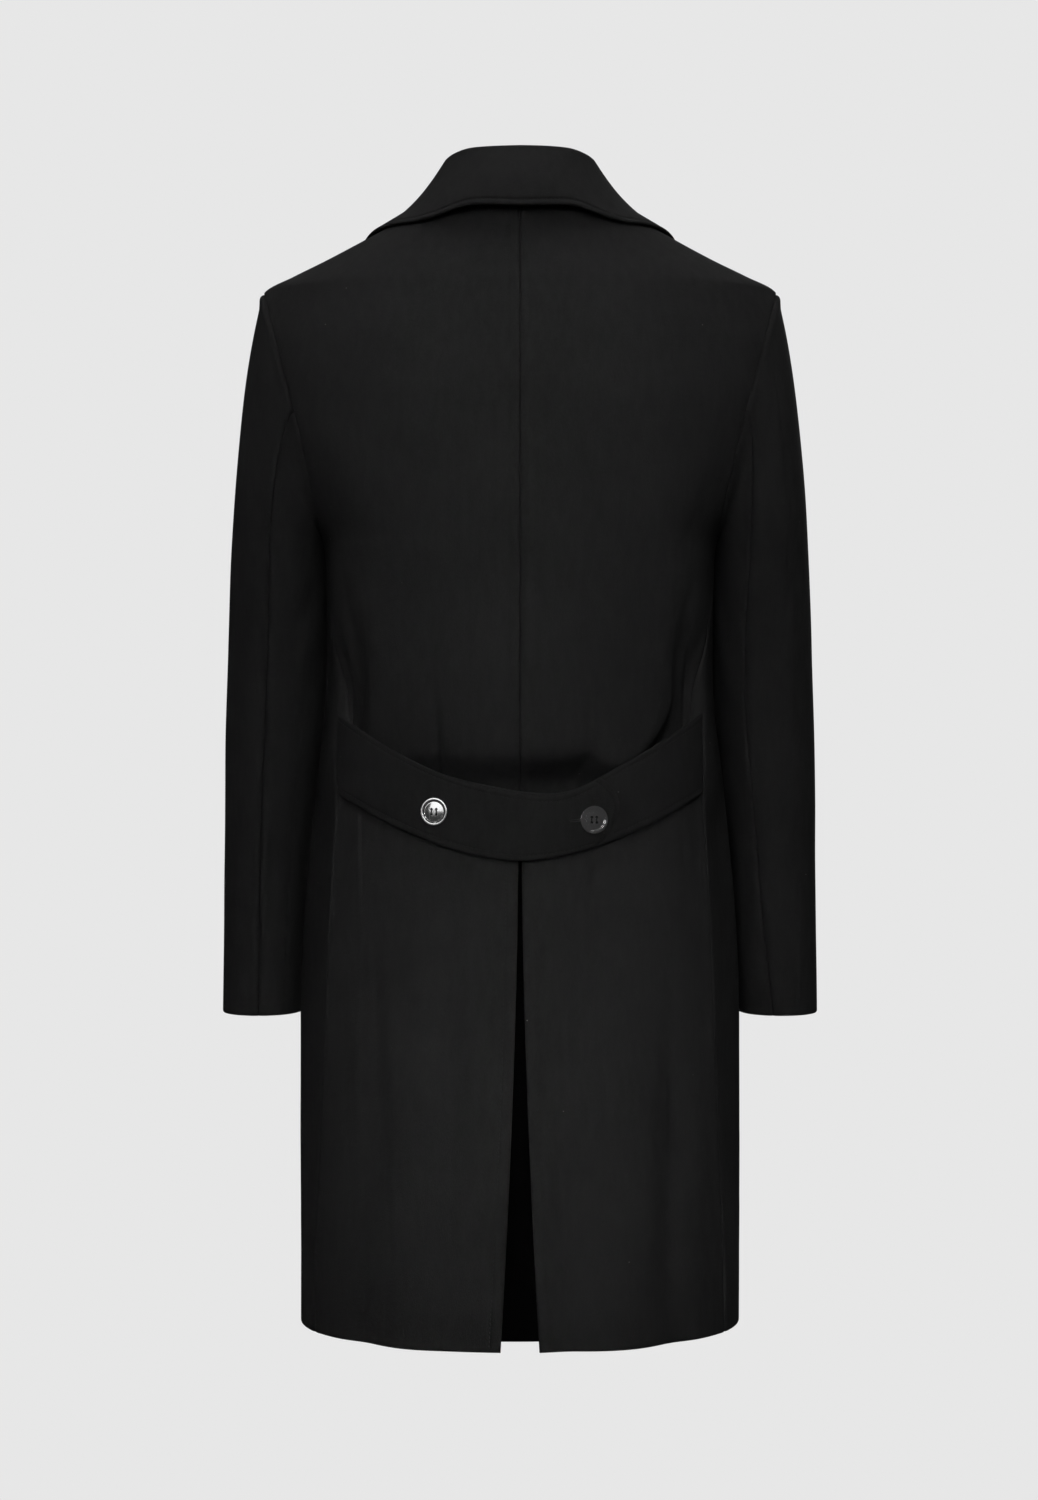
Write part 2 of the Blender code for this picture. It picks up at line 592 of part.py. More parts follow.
def button_blank(name, horn, collection):
    """A turned button on +Z, its back at z = 0, with a rounded rim round a shallow dish."""
    rim, thick, dish = BUTTON_RADIUS - BUTTON_RIM, BUTTON_THICK, BUTTON_THICK - BUTTON_DISH
    profile = ((0, dish), (0.6 * rim, dish), (rim, dish + 0.0005), (rim + 0.0006, thick),
               (BUTTON_RADIUS - 0.0006, thick), (BUTTON_RADIUS, 0.7 * thick), (0.8 * BUTTON_RADIUS, 0), (0, 0))
    outline = bmesh.new()
    spots = [outline.verts.new((r, 0, z)) for r, z in profile]
    for a, b in zip(spots, spots[1:]):
        outline.edges.new((a, b))
    mesh = bpy.data.meshes.new(name)
    outline.to_mesh(mesh)
    outline.free()
    mesh.materials.append(horn)
    made = bpy.data.objects.new(name, mesh)
    collection.objects.link(made)
    turned = made.modifiers.new("turned", "SCREW")
    turned.steps = turned.render_steps = BUTTON_SIDES
    turned.use_merge_vertices = True
    turned.merge_threshold = 0.00005
    return made


def hole_cutter(collection):
    """Four thread holes in one cutter, for every button."""
    holes = bmesh.new()
    for i in range(4):
        turn = math.pi / 4 + i * math.pi / 2
        made = bmesh.ops.create_cone(holes, cap_ends=True, segments=HOLE_SIDES, radius1=BUTTON_HOLE_RADIUS,
                                     radius2=BUTTON_HOLE_RADIUS, depth=4 * BUTTON_THICK)
        place = (BUTTON_HOLE_OUT * math.cos(turn), BUTTON_HOLE_OUT * math.sin(turn), 0)
        bmesh.ops.translate(holes, verts=made["verts"], vec=place)
    mesh = bpy.data.meshes.new("thread_holes")
    holes.to_mesh(mesh)
    holes.free()
    cutter = bpy.data.objects.new("thread_holes", mesh)
    cutter.hide_render = True
    cutter.display_type = "WIRE"
    collection.objects.link(cutter)
    return cutter


def button_mesh(horn, collection, cutters):
    """The button that every button shares: turned, then drilled."""
    blank = button_blank("button_blank", horn, cutters)
    cutter = hole_cutter(cutters)
    drill = blank.modifiers.new("drilled", "BOOLEAN")
    drill.object = cutter
    graph = bpy.context.evaluated_depsgraph_get()
    mesh = bpy.data.meshes.new_from_object(blank.evaluated_get(graph))
    bpy.data.objects.remove(blank)
    return mesh


def sew_button(name, mesh, seat, outward, sink, collection):
    """A button with its back just clear of the cloth, whose flat facets lie a little inside its curve."""
    made = bpy.data.objects.new(name, mesh)
    made.location = seat + outward * (SEAM_GAP - sink)
    made.rotation_mode = "QUATERNION"
    made.rotation_quaternion = outward.to_track_quat("Z", "Y")
    collection.objects.link(made)


def button_seat(face, x, z):
    """The highest place of the cloth under a button's back, and the way it faces."""
    step = BUTTON_RADIUS * 0.8
    turns = np.linspace(0, 2 * np.pi, 12, endpoint=False)
    middle = Vector(face(np.array(x), np.array(z)))
    across = Vector(face(np.array(x + step), np.array(z))) - Vector(face(np.array(x - step), np.array(z)))
    upward = Vector(face(np.array(x), np.array(z + step))) - Vector(face(np.array(x), np.array(z - step)))
    outward = across.cross(upward).normalized()
    if outward.y * middle.y < 0:
        outward.negate()
    ring = face(x + step * np.cos(turns), z + step * np.sin(turns))
    rise = max((Vector(p) - middle).dot(outward) for p in ring)
    return middle + outward * max(rise, 0), outward


def belt_face(x, z):
    """The outer face of the half belt at x and z, on whichever end lies on top there."""
    share = np.abs(x) / BELT_END_X
    middle = BELT_MIDDLE_HEIGHT + (BELT_END_HEIGHT - BELT_MIDDLE_HEIGHT) * share ** BELT_DROOP
    over = (BELT_CLOTH + 1.3 * LIE_GAP) * (1 - ease(BELT_RIGHT_TIP + 0.012, BELT_RIGHT_TIP + BELT_OVERLAP_EASE, x))
    return belt_point(x, middle - z, over)


def build():
    for old in list(bpy.data.objects):
        bpy.data.objects.remove(old)
    coat = bpy.data.collections.new("double_breasted_coat")
    cutters = bpy.data.collections.new("cutters")
    for collection in (coat, cutters):
        bpy.context.scene.collection.children.link(collection)
    wool = material("black_wool", WOOL, 0.9, 0.0)
    horn = material("dark_horn", HORN, 0.3, 0.0)
    rows = LOWER_ROWS + UPPER_ROWS
    for side, word in ((1, "left"), (-1, "right")):
        cloth_wall(f"back_{word}", BACK_COLUMNS, rows, lambda u, v: back_panel(u, v, side), CLOTH, wool, coat,
                   flip=side > 0)
        cloth_wall(f"front_{word}", FRONT_COLUMNS, rows, lambda u, v: front_panel(u, v, side), CLOTH, wool, coat,
                   flip=side > 0)
        cloth_wall(f"lapel_{word}", 8, 12, lambda u, v: lapel(u, v, side), CLOTH, wool, coat, flip=side < 0)
        back, front = BACK_SEAM_STATION, FRONT_SEAM_STATION + ARM_STATIONS // 6
        sleeve_rows = CAP_ROWS + TUBE_ROWS
        cloth_wall(f"top_sleeve_{word}", front - back, sleeve_rows, sleeve_piece(back, front, side), CLOTH, wool,
                   coat, flip=side < 0)
        cloth_wall(f"under_sleeve_{word}", 2 * ARM_STATIONS - front + back, sleeve_rows,
                   sleeve_piece(front, 2 * ARM_STATIONS + back, side), CLOTH, wool, coat, flip=side < 0)
        cloth_wall(f"half_belt_{word}", 14, 4, lambda u, v: belt_end(u, v, side), BELT_CLOTH, wool, coat,
                   flip=side > 0)
    cloth_wall("pleat", 16, PLEAT_ROWS, pleat_underlay, CLOTH, wool, coat)
    cloth_wall("collar", 28, 8, collar_leaf, COLLAR_CLOTH, wool, coat)
    cloth_wall("collar_stand", 22, 2, collar_stand, CLOTH, wool, coat)
    button = button_mesh(horn, coat, cutters)
    for word, spot in (("left", BELT_BUTTON_LEFT), ("right", BELT_BUTTON_RIGHT)):
        seat, outward = button_seat(belt_face, *spot)
        sew_button(f"belt_button_{word}", button, seat, outward, 0.0, coat)
    for row, (height, sink) in enumerate(FRONT_BUTTON_ROWS, 1):
        for x, word in ((FRONT_BUTTON_X, "left"), (-FRONT_BUTTON_X, "right")):
            seat, outward = button_seat(lambda a, b: front_point(a, b, 1), x, height)
            sew_button(f"front_button_{word}_{row}", button, seat, outward, sink, coat)


build()
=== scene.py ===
"""The finished double-breasted wool overcoat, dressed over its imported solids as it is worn.

Metres, +Z up. The coat faces -Y, the wearer's left is +X, and the origin is the middle of the neck
opening. Each cut piece of wool is a wall with rounded edges on the shape of its solid, and carries the
creases, seam swells, sewing and buttonholes that the solids leave out.
"""

import logging
import math
from dataclasses import dataclass
from enum import Enum
from typing import Callable, Iterable, Sequence

import bpy
import numpy as np
from mathutils import Matrix, Vector


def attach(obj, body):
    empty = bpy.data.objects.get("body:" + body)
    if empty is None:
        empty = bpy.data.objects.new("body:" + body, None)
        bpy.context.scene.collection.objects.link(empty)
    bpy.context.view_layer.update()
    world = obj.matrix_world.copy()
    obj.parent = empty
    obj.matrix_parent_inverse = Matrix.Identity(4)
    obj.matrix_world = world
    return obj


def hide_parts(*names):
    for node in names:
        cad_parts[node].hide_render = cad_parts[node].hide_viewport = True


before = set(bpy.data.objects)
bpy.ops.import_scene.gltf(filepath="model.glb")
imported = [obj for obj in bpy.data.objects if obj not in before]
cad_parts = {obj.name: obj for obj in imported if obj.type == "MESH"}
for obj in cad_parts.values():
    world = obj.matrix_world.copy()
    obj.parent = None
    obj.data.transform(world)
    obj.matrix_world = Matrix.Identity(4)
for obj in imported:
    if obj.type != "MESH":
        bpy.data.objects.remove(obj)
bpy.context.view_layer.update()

Array = np.ndarray
Face = Callable[[Array, Array], Array]
Pair = tuple[float, float]
Triple = tuple[float, float, float]
Material = bpy.types.Material
Object = bpy.types.Object
Tree = bpy.types.NodeTree
Socket = bpy.types.NodeSocket
log = logging.getLogger("overcoat")

MM = 0.001
# Sewn edges lap by the first, and a piece that lies on another is off it by the second.
SEAM_LAP = 0.06 * MM
LIE_GAP = 0.8 * MM
# Close grid lines at one end of a line of cloth take up this share of it at most.
END_ROOM = 0.45
LINE_SAMPLES = 321
TINY = 1e-9


class Side(Enum):
    """The wearer's left, on +X, or right, on -X."""

    LEFT = 1
    RIGHT = -1

    @property
    def word(self) -> str:
        """The side's word in a piece's name."""
        return self.name.lower()


class SleeveCut(Enum):
    """The two pieces that a sleeve is cut in, by their first and last station round the armhole."""

    TOP = (6, 18)
    UNDER = (18, 30)


def through(xs: Array, ys: Array, at: Array) -> Array:
    """Reads a smooth curve through points, with no overshoot.

    Args:
        xs: Where the points are, rising.
        ys: The points' values.
        at: Where to read.

    Returns:
        The curve's values.
    """
    xs, ys, at = np.asarray(xs, float), np.asarray(ys, float), np.asarray(at, float)
    step = np.diff(xs)
    slope = np.diff(ys) / step
    lean = np.empty_like(ys)
    lean[0], lean[-1] = slope[0], slope[-1]
    same = slope[:-1] * slope[1:] > 0
    lean[1:-1] = np.where(same, 2 * slope[:-1] * slope[1:] / np.where(same, slope[:-1] + slope[1:], 1), 0)
    i = np.clip(np.searchsorted(xs, at) - 1, 0, len(step) - 1)
    t = np.clip((at - xs[i]) / step[i], 0, 1)
    rise = (1 + 2 * t) * (1 - t) ** 2 * ys[i] + t * t * (3 - 2 * t) * ys[i + 1]
    return rise + step[i] * (t * (1 - t) ** 2 * lean[i] - t * t * (1 - t) * lean[i + 1])


def ease(low: float, high: float, at: Array) -> Array:
    """Gives 0 before low, 1 after high, and a soft rise between."""
    t = np.clip((np.asarray(at, float) - low) / (high - low), 0, 1)
    return t * t * (3 - 2 * t)


def stack(x: Array, y: Array, z: Array) -> Array:
    """Joins coordinates into points."""
    return np.stack(np.broadcast_arrays(x, y, z), axis=-1).astype(float)


def unit(v: Array) -> Array:
    """Scales vectors to length 1."""
    return v / np.maximum(np.linalg.norm(v, axis=-1, keepdims=True), 1e-12)


def run_lengths(p: Array, axis: int) -> Array:
    """Measures how far each point lies along its grid line from the line's start.

    Args:
        p: A line or a grid of points.
        axis: The axis that the lines run along.

    Returns:
        The lengths.
    """
    steps = np.linalg.norm(np.diff(p, axis=axis), axis=-1)
    first = np.zeros_like(np.take(steps, [0], axis=axis))
    return np.concatenate((first, np.cumsum(steps, axis=axis)), axis=axis)


@dataclass(frozen=True)
class Table:
    """Sizes in named columns, a row for each station, read smoothly by the first column."""

    columns: tuple[str, ...]
    rows: tuple[tuple[float, ...], ...]

    def read(self, name: str, at: Array) -> Array:
        """Reads one named column between its stations."""
        table = np.array(self.rows)
        return through(table[:, 0], table[:, self.columns.index(name)], at)


@dataclass(frozen=True)
class Crease:
    """A soft trough, or a ridge where its depth is above 0, drawn across a piece's face.

    Its ends are given by how far round the piece they lie and by height. The depth swells and fades along
    the line, so that no two creases look ruled.
    """

    start: Pair
    end: Pair
    half_width: float
    depth: float
    bow: float = 0.0
    fade_in: Pair = (-0.12, 0.28)
    fade_out: Pair = (0.62, 1.12)
    waver: float = 0.22
    waver_turns: Triple = (9.0, 900.0, 31.0)
    widening: Pair = (0.85, 0.50)

    def height(self, around: Array, z: Array, scale: float) -> Array:
        """Gives the crease's height over the face.

        Args:
            around: How far round the piece the points lie.
            z: The points' heights.
            scale: How many steps round the piece are as long as a metre of height.

        Returns:
            How far out the cloth stands, below 0 in a trough.
        """
        way = np.subtract(self.end, self.start) * (1, scale)
        length = np.hypot(*way)
        da, db = around - self.start[0], (z - self.start[1]) * scale
        along = (da * way[0] + db * way[1]) / length ** 2
        across = (da * way[1] - db * way[0]) / length - self.bow * 4 * along * (1 - along)
        fade = ease(*self.fade_in, along) * (1 - ease(*self.fade_out, along))
        by_place, by_depth, by_start = self.waver_turns
        turn = by_place * along + by_depth * self.depth + by_start * self.start[0]
        wavy = 1 + self.waver * np.sin(turn)
        wider = self.half_width * (self.widening[0] + self.widening[1] * np.clip(along, 0, 1))
        return self.depth * fade * wavy * np.exp(-((across / wider) ** 2))


def creased(*rows: tuple[float, ...]) -> tuple[Crease, ...]:
    """Makes creases from rows of both ends, half width, depth in millimetres and, where it has one, bow."""
    return tuple(Crease(row[:2], row[2:4], row[4], row[5] * MM, *row[6:]) for row in rows)


@dataclass(frozen=True)
class EdgeShape:
    """How an edge is finished, in lengths counted from the edge inwards.

    reach is how far its rounding goes. dip and swell are what a seam ironed open does to the cloth on it,
    and pinch is the share of the thickness that a row of stitches takes.
    """

    marks: tuple[float, ...]
    reach: float = 2.0 * MM
    dip: float = 0.0
    swell: float = 0.0
    swell_at: float = 6.5 * MM
    pinch: float = 0.0
    pinch_at: float = 5.5 * MM
    pinch_half: float = 1.25 * MM
    swell_share: float = 0.55
    dip_share: float = 1.3

    def roundness(self, d: Array) -> Array:
        """The share of the full thickness at a distance from the edge."""
        return np.sqrt(1 - (1 - np.clip(d / self.reach, 0, 1)) ** 2)

    def rise(self, d: Array) -> Array:
        """How far the seam lifts the cloth at a distance from the edge."""
        lifted = self.swell * np.exp(-(((d - self.swell_at) / (self.swell_share * self.swell_at)) ** 2))
        return lifted - self.dip * np.exp(-((d / (self.dip_share * self.reach)) ** 2))

    def squeeze(self, d: Array) -> Array:
        """The share of the thickness that a row of stitches leaves."""
        return 1 - self.pinch * np.exp(-(((d - self.pinch_at) / self.pinch_half) ** 2))


def in_mm(*marks: float) -> tuple[float, ...]:
    """Gives millimetres as metres."""
    return tuple(m * MM for m in marks)


ROUND_MARKS = in_mm(0, 0.15, 0.6, 1.2, 2.0)
SEAM_MARKS = ROUND_MARKS + in_mm(3.2, 4.8, 6.6, 8.6)
SEWN_MARKS = ROUND_MARKS + in_mm(2.9, 3.8, 4.4, 5.0, 5.6, 6.2, 6.8, 7.6, 8.6)
FAR_SEWN_MARKS = ROUND_MARKS + in_mm(4, 6.5, 8.6, 9.5, 10.2, 10.8, 11.4, 12.2, 13.4)


class Edge(Enum):
    """The ways that this coat's edges are finished."""

    SEAM = EdgeShape(SEAM_MARKS, reach=1.2 * MM, dip=0.9 * MM, swell=0.35 * MM)
    SHOULDER = EdgeShape(SEAM_MARKS, dip=0.5 * MM, swell=0.25 * MM)
    STITCHED = EdgeShape(SEWN_MARKS, pinch=0.42)
    BELT = EdgeShape(SEWN_MARKS, reach=2.9 * MM, pinch=0.26, pinch_at=6.0 * MM)
    PLEAT_FOLD = EdgeShape(FAR_SEWN_MARKS, reach=2.4 * MM, pinch=0.17, pinch_at=10.5 * MM)
    FOLDED = EdgeShape(ROUND_MARKS)


Edges = tuple[Edge, Edge, Edge, Edge]


def spaced(points: Array, shares: Array, step: float, first: Sequence[float],
           last: Sequence[float]) -> Array:
    """Spreads grid lines evenly along a line of cloth, with close ones near its two ends.

    Args:
        points: Points along the line.
        shares: The line's own parameter at each point.
        step: The distance between grid lines away from the ends.
        first: Distances of the close lines from the start.
        last: Distances of the close lines from the end.

    Returns:
        The parameter of each grid line.
    """
    run = run_lengths(points, 0)
    room = END_ROOM * run[-1] / max(first[-1], last[-1])
    head = np.array(first) * min(1, room)
    tail = run[-1] - np.array(last)[::-1] * min(1, room)
    count = max(round((tail[0] - head[-1]) / step), 2)
    even = np.linspace(head[-1], tail[0], count + 1)[1:-1]
    return np.interp(np.concatenate((head, even, tail)), run, shares)


@dataclass(frozen=True)
class CoatForm:
    """The coat's outer shell as it is filled out: ovals from the hem to the neck, with the largest folds."""

    # The ovals; a squareness of 2 is a plain oval, and a larger one has fuller corners.
    rings: Table = Table(
        ("height", "half_width", "back_depth", "front_depth", "squareness"),
        (
            (-1.016, 0.2013, 0.165, 0.152, 2.0), (-0.87, 0.2013, 0.157, 0.149, 2.02),
            (-0.735, 0.201, 0.148, 0.146, 2.05), (-0.64, 0.197, 0.137, 0.142, 2.08),
            (-0.535, 0.188, 0.121, 0.139, 2.12), (-0.42, 0.1772, 0.135, 0.141, 2.4),
            (-0.36, 0.1768, 0.14, 0.144, 2.6), (-0.33, 0.1772, 0.142, 0.145, 2.7),
            (-0.308, 0.179, 0.143, 0.146, 2.75), (-0.28, 0.1925, 0.1435, 0.1455, 2.75),
            (-0.254, 0.2075, 0.143, 0.144, 2.7), (-0.19, 0.236, 0.14, 0.138, 2.55),
            (-0.127, 0.248, 0.128, 0.122, 2.4), (-0.075, 0.2346, 0.11, 0.098, 2.3),
            (-0.062, 0.211, 0.1045, 0.092, 2.3), (-0.046, 0.1785, 0.097, 0.083, 2.3),
            (-0.022, 0.134, 0.087, 0.071, 2.3), (0.012, 0.078, 0.069, 0.054, 2.3),
        ),
    )
    # Angles here are degrees round the oval from the centre back.
    side_seams: Table = Table(
        ("height", "angle"),
        (
            (-1.016, 66.5), (-0.93, 65.0), (-0.7, 59.5), (-0.55, 60.5), (-0.47, 63.5), (-0.38, 73.5),
            (-0.308, 90.0),
        ),
    )
    folds: Table = Table(
        ("angle", "lowest", "highest", "half_angle", "depth"),
        (
            (53.0, -0.56, -0.36, 6.0, -0.011), (-53.0, -0.56, -0.36, 6.0, -0.011),
            (20.0, -0.56, -0.42, 5.0, -0.004), (-18.0, -0.56, -0.42, 5.0, -0.004),
            (17.0, -0.86, -0.57, 5.5, -0.005), (-12.0, -1.2, -0.6, 5.0, -0.004),
            (29.0, -1.2, -0.62, 9.0, 0.005), (-27.0, -1.2, -0.6, 9.0, 0.006),
            (44.0, -1.2, -0.66, 6.0, -0.004), (-43.0, -1.2, -0.66, 6.0, -0.004),
        ),
    )
    fold_fade: float = 0.4
    hem: float = -1.016
    underarm: float = -0.308
    underarm_x: float = 0.1790
    shoulder: float = -0.075
    shoulder_x: float = 0.2346
    armhole_bend: float = 1.25
    neck_point_x: float = 0.078
    neck_point: float = 0.012
    neck_back: float = -0.002
    neck_room: float = 6.0 * MM
    clear_passes: int = 3
    ridge_samples: int = 200
    arm_stations: int = 12
    degrees_a_metre: float = 330.0
    # The half belt: its end in x and z, its middle's height and how it droops, half its height in the middle
    # and at its ends, and the sag of its top edge as a place, a width and a drop.
    belt_end: Pair = (0.165, -0.496)
    belt_middle: float = -0.560
    belt_droop: float = 1.7
    belt_half: Pair = (0.0302, 0.0360)
    belt_flare: float = 1.5
    belt_sag: Triple = (-0.040, 0.034, 8.0 * MM)
    # The slump above the belt: the height that it starts below, how steeply it goes in, how deep, how softly
    # it turns, and how far the cloth above it swells out.
    brim: Table = Table(
        ("x", "height", "slope", "deepest", "turn", "bulge"),
        (
            (-0.176, -0.32, 0.5, 0.0005, 0.004, 0.0), (-0.17, -0.335, 0.9, 0.0015, 0.004, 0.0),
            (-0.164, -0.35, 1.0, 0.009, 0.004, 0.0), (-0.157, -0.37, 1.1, 0.016, 0.004, 0.0),
            (-0.15, -0.39, 1.2, 0.017, 0.004, 0.0), (-0.144, -0.42, 1.3, 0.018, 0.004, 0.001),
            (-0.139, -0.445, 1.5, 0.019, 0.004, 0.002), (-0.132, -0.463, 1.9, 0.022, 0.004, 0.004),
            (-0.109, -0.493, 2.0, 0.025, 0.004, 0.009), (-0.087, -0.5075, 1.3, 0.025, 0.007, 0.012),
            (-0.07, -0.502, 0.9, 0.03, 0.01, 0.014), (-0.057, -0.495, 0.95, 0.036, 0.01, 0.015),
            (-0.043, -0.497, 0.92, 0.038, 0.01, 0.015), (0.0, -0.4985, 0.6, 0.03, 0.011, 0.015),
            (0.061, -0.4985, 0.4, 0.022, 0.011, 0.015), (0.072, -0.4935, 0.45, 0.022, 0.011, 0.014),
            (0.088, -0.4965, 0.6, 0.022, 0.009, 0.012), (0.101, -0.502, 1.0, 0.021, 0.007, 0.009),
            (0.121, -0.494, 1.5, 0.02, 0.005, 0.004), (0.1385, -0.478, 1.4, 0.019, 0.004, 0.002),
            (0.143, -0.445, 1.2, 0.019, 0.004, 0.001), (0.15, -0.415, 1.1, 0.019, 0.004, 0.0),
            (0.157, -0.385, 1.0, 0.018, 0.004, 0.0), (0.164, -0.36, 1.0, 0.01, 0.004, 0.0),
            (0.17, -0.34, 0.9, 0.002, 0.004, 0.0), (0.176, -0.325, 0.5, 0.0005, 0.004, 0.0),
        ),
    )
    bulge_from: Pair = (-0.330, -0.485)
    wedge_top: Pair = (-0.445, -0.365)
    brim_edge: Pair = (-0.004, 0.030)
    behind_belt: Pair = (-0.28, 0.55)
    # The fullness below the belt, by distance from the middle.
    fullness: Table = Table(
        ("x", "lift"),
        ((0.0, 0.006), (0.05, 0.008), (0.1, 0.01), (0.14, 0.0065), (0.165, 0.0), (0.3, 0.0)),
    )
    fullness_top: Pair = (-0.020, 0.002)
    fullness_run: float = 0.170
    # The skirt is flatter than its oval from the side seam to an angle, over a run of heights.
    side_flat: float = 9.0 * MM
    side_flat_to: float = 88.0
    side_run: tuple[float, float, float, float] = (-0.980, -0.840, -0.570, -0.510)
    # Each crease runs from an angle and a height to another angle and height.
    creases: tuple[Crease, ...] = creased(
        (-19.0, -0.59, -17.0, -0.64, 1.6, -2.2), (38.5, -0.64, 37.0, -1.0, 2.6, -2.2),
        (45.5, -0.66, 44.0, -1.0, 2.8, 1.5), (-10.5, -0.68, -10.0, -0.99, 2.4, -1.8),
        (-41.5, -0.66, -40.0, -0.99, 2.8, -1.8), (20.6, -0.435, 20.0, -0.512, 1.7, -2.2),
        (-16.4, -0.42, -16.6, -0.512, 1.7, -2.4), (10.0, -0.66, 12.5, -0.99, 4.0, 1.6),
        (-6.5, -0.64, -7.5, -0.9, 2.6, 0.9), (62.0, -0.33, 50.0, -0.455, 4.0, -1.8, 3.0),
        (-60.0, -0.335, -49.0, -0.45, 4.0, -1.8, -3.0), (47.0, -0.15, 56.0, -0.3, 5.0, -1.4),
        (-46.0, -0.16, -55.0, -0.3, 5.0, -1.4), (122.0, -0.335, 106.0, -0.5, 5.0, -2.2, 4.0),
        (-121.0, -0.34, -107.0, -0.49, 5.0, -2.2, -4.0), (96.0, -0.56, 104.0, -0.98, 7.0, 2.6, 3.0),
        (-97.0, -0.54, -106.0, -0.96, 7.0, 2.6, -3.0), (122.0, -0.62, 126.0, -1.01, 6.0, -2.4),
        (-120.0, -0.64, -125.0, -1.0, 6.0, -2.4), (141.0, -0.64, 146.0, -0.99, 7.0, 2.0),
        (-142.0, -0.65, -147.0, -0.98, 7.0, 2.0), (157.0, -0.38, 134.0, -0.455, 4.0, -1.1),
        (-157.0, -0.49, -132.0, -0.56, 4.0, -1.1), (128.0, -0.25, 112.0, -0.4, 5.0, -1.6, -3.0),
        (-127.0, -0.255, -111.0, -0.405, 5.0, -1.6, 3.0),
    )

    def ring(self, name: str, height: Array) -> Array:
        """One size of the shell's oval at a height."""
        return self.rings.read(name, height)

    def level(self, p: Array) -> Array:
        """The oval that a point lies on, as a share of the shell's size: 1 is on the shell.

        Args:
            p: Points near the shell.

        Returns:
            Each point's share.
        """
        x, y, z = np.moveaxis(p, -1, 0)
        depth = np.where(y > 0, self.ring("back_depth", z), self.ring("front_depth", z))
        power = self.ring("squareness", z)
        across = np.abs(x) / self.ring("half_width", z)
        return (across ** power + (np.abs(y) / depth) ** power) ** (1 / power)

    def slope(self, p: Array, step: float = 1e-4) -> Array:
        """How the level changes along x, y and z, which points straight out of the shell."""
        ways = np.eye(3) * step
        return np.stack([(self.level(p + d) - self.level(p - d)) / (2 * step) for d in ways], axis=-1)

    def lift(self, p: Array, by: Array) -> Array:
        """Moves points out along the shell's normal."""
        return p + unit(self.slope(p)) * np.asarray(by)[..., None]

    def keep_clear(self, p: Array, least: float) -> Array:
        """Moves points that are nearer to the shell than a distance, or inside it, out to that distance.

        Args:
            p: The points.
            least: The distance.

        Returns:
            The points, moved.
        """
        for _ in range(self.clear_passes):
            grade = self.slope(p)
            size = np.maximum(np.linalg.norm(grade, axis=-1), TINY)
            short = np.maximum(least - (self.level(p) - 1) / size, 0)
            short = short * (1 - ease(self.neck_point - self.neck_room, self.neck_point, p[..., 2]))
            p = p + grade / size[..., None] * short[..., None]
        return p

    def depth_at(self, x: Array, z: Array, facing: int) -> Array:
        """The shell's y at x and z, behind where facing is 1 and in front where it is -1.

        Args:
            x: Where the points lie across the coat.
            z: Their heights.
            facing: 1 for the back and -1 for the front.

        Returns:
            The y of each point.
        """
        across = np.clip(np.abs(x) / self.ring("half_width", z), 0, 1)
        power = self.ring("squareness", z)
        deep = self.ring("back_depth" if facing > 0 else "front_depth", z)
        return facing * deep * (1 - across ** power) ** (1 / power)

    def angle_at(self, x: Array, z: Array) -> Array:
        """The oval's angle from its middle, in degrees, signed as x is."""
        across = np.clip(np.abs(x) / self.ring("half_width", z), 0, 1)
        return np.sign(x) * np.degrees(np.arcsin(across ** (self.ring("squareness", z) / 2)))

    def fold_depth(self, angle: Array, z: Array) -> Array:
        """How far the largest folds push the shell out, or pull it in, at an angle and height.

        Args:
            angle: Angles from the centre back, in degrees.
            z: Heights.

        Returns:
            How far out each point goes.
        """
        total = np.zeros(np.broadcast(angle, z).shape)
        for centre, lowest, highest, half_angle, depth in self.folds.rows:
            run = (highest - lowest) * self.fold_fade
            along = ease(lowest, lowest + run, z) * (1 - ease(highest - run, highest, z))
            total = total + depth * along * np.exp(-(((angle - centre) / half_angle) ** 2))
        return total

    def folded(self, p: Array, angle: Array) -> Array:
        """Moves points level, out or in, by the largest folds."""
        return p + unit(self.slope(p) * (1, 1, 0)) * self.fold_depth(angle, p[..., 2])[..., None]

    def belt_height(self, x: Array) -> Array:
        """The height of the half belt's middle line, which droops between the side seams."""
        share = (np.abs(x) / self.belt_end[0]) ** self.belt_droop
        return self.belt_middle + (self.belt_end[1] - self.belt_middle) * share - self.sagged(x) / 2

    def sagged(self, x: Array) -> Array:
        """How far the half belt's top edge sags beside the tip of its upper end."""
        middle, width, sag = self.belt_sag
        return sag * np.exp(-(((x - middle) / width) ** 2))

    def belt_reach(self, x: Array) -> Array:
        """Half the height of the half belt, which is a little taller towards the side seams."""
        taller = (self.belt_half[1] - self.belt_half[0]) * (np.abs(x) / self.belt_end[0]) ** self.belt_flare
        return self.belt_half[0] + taller - self.sagged(x) / 2

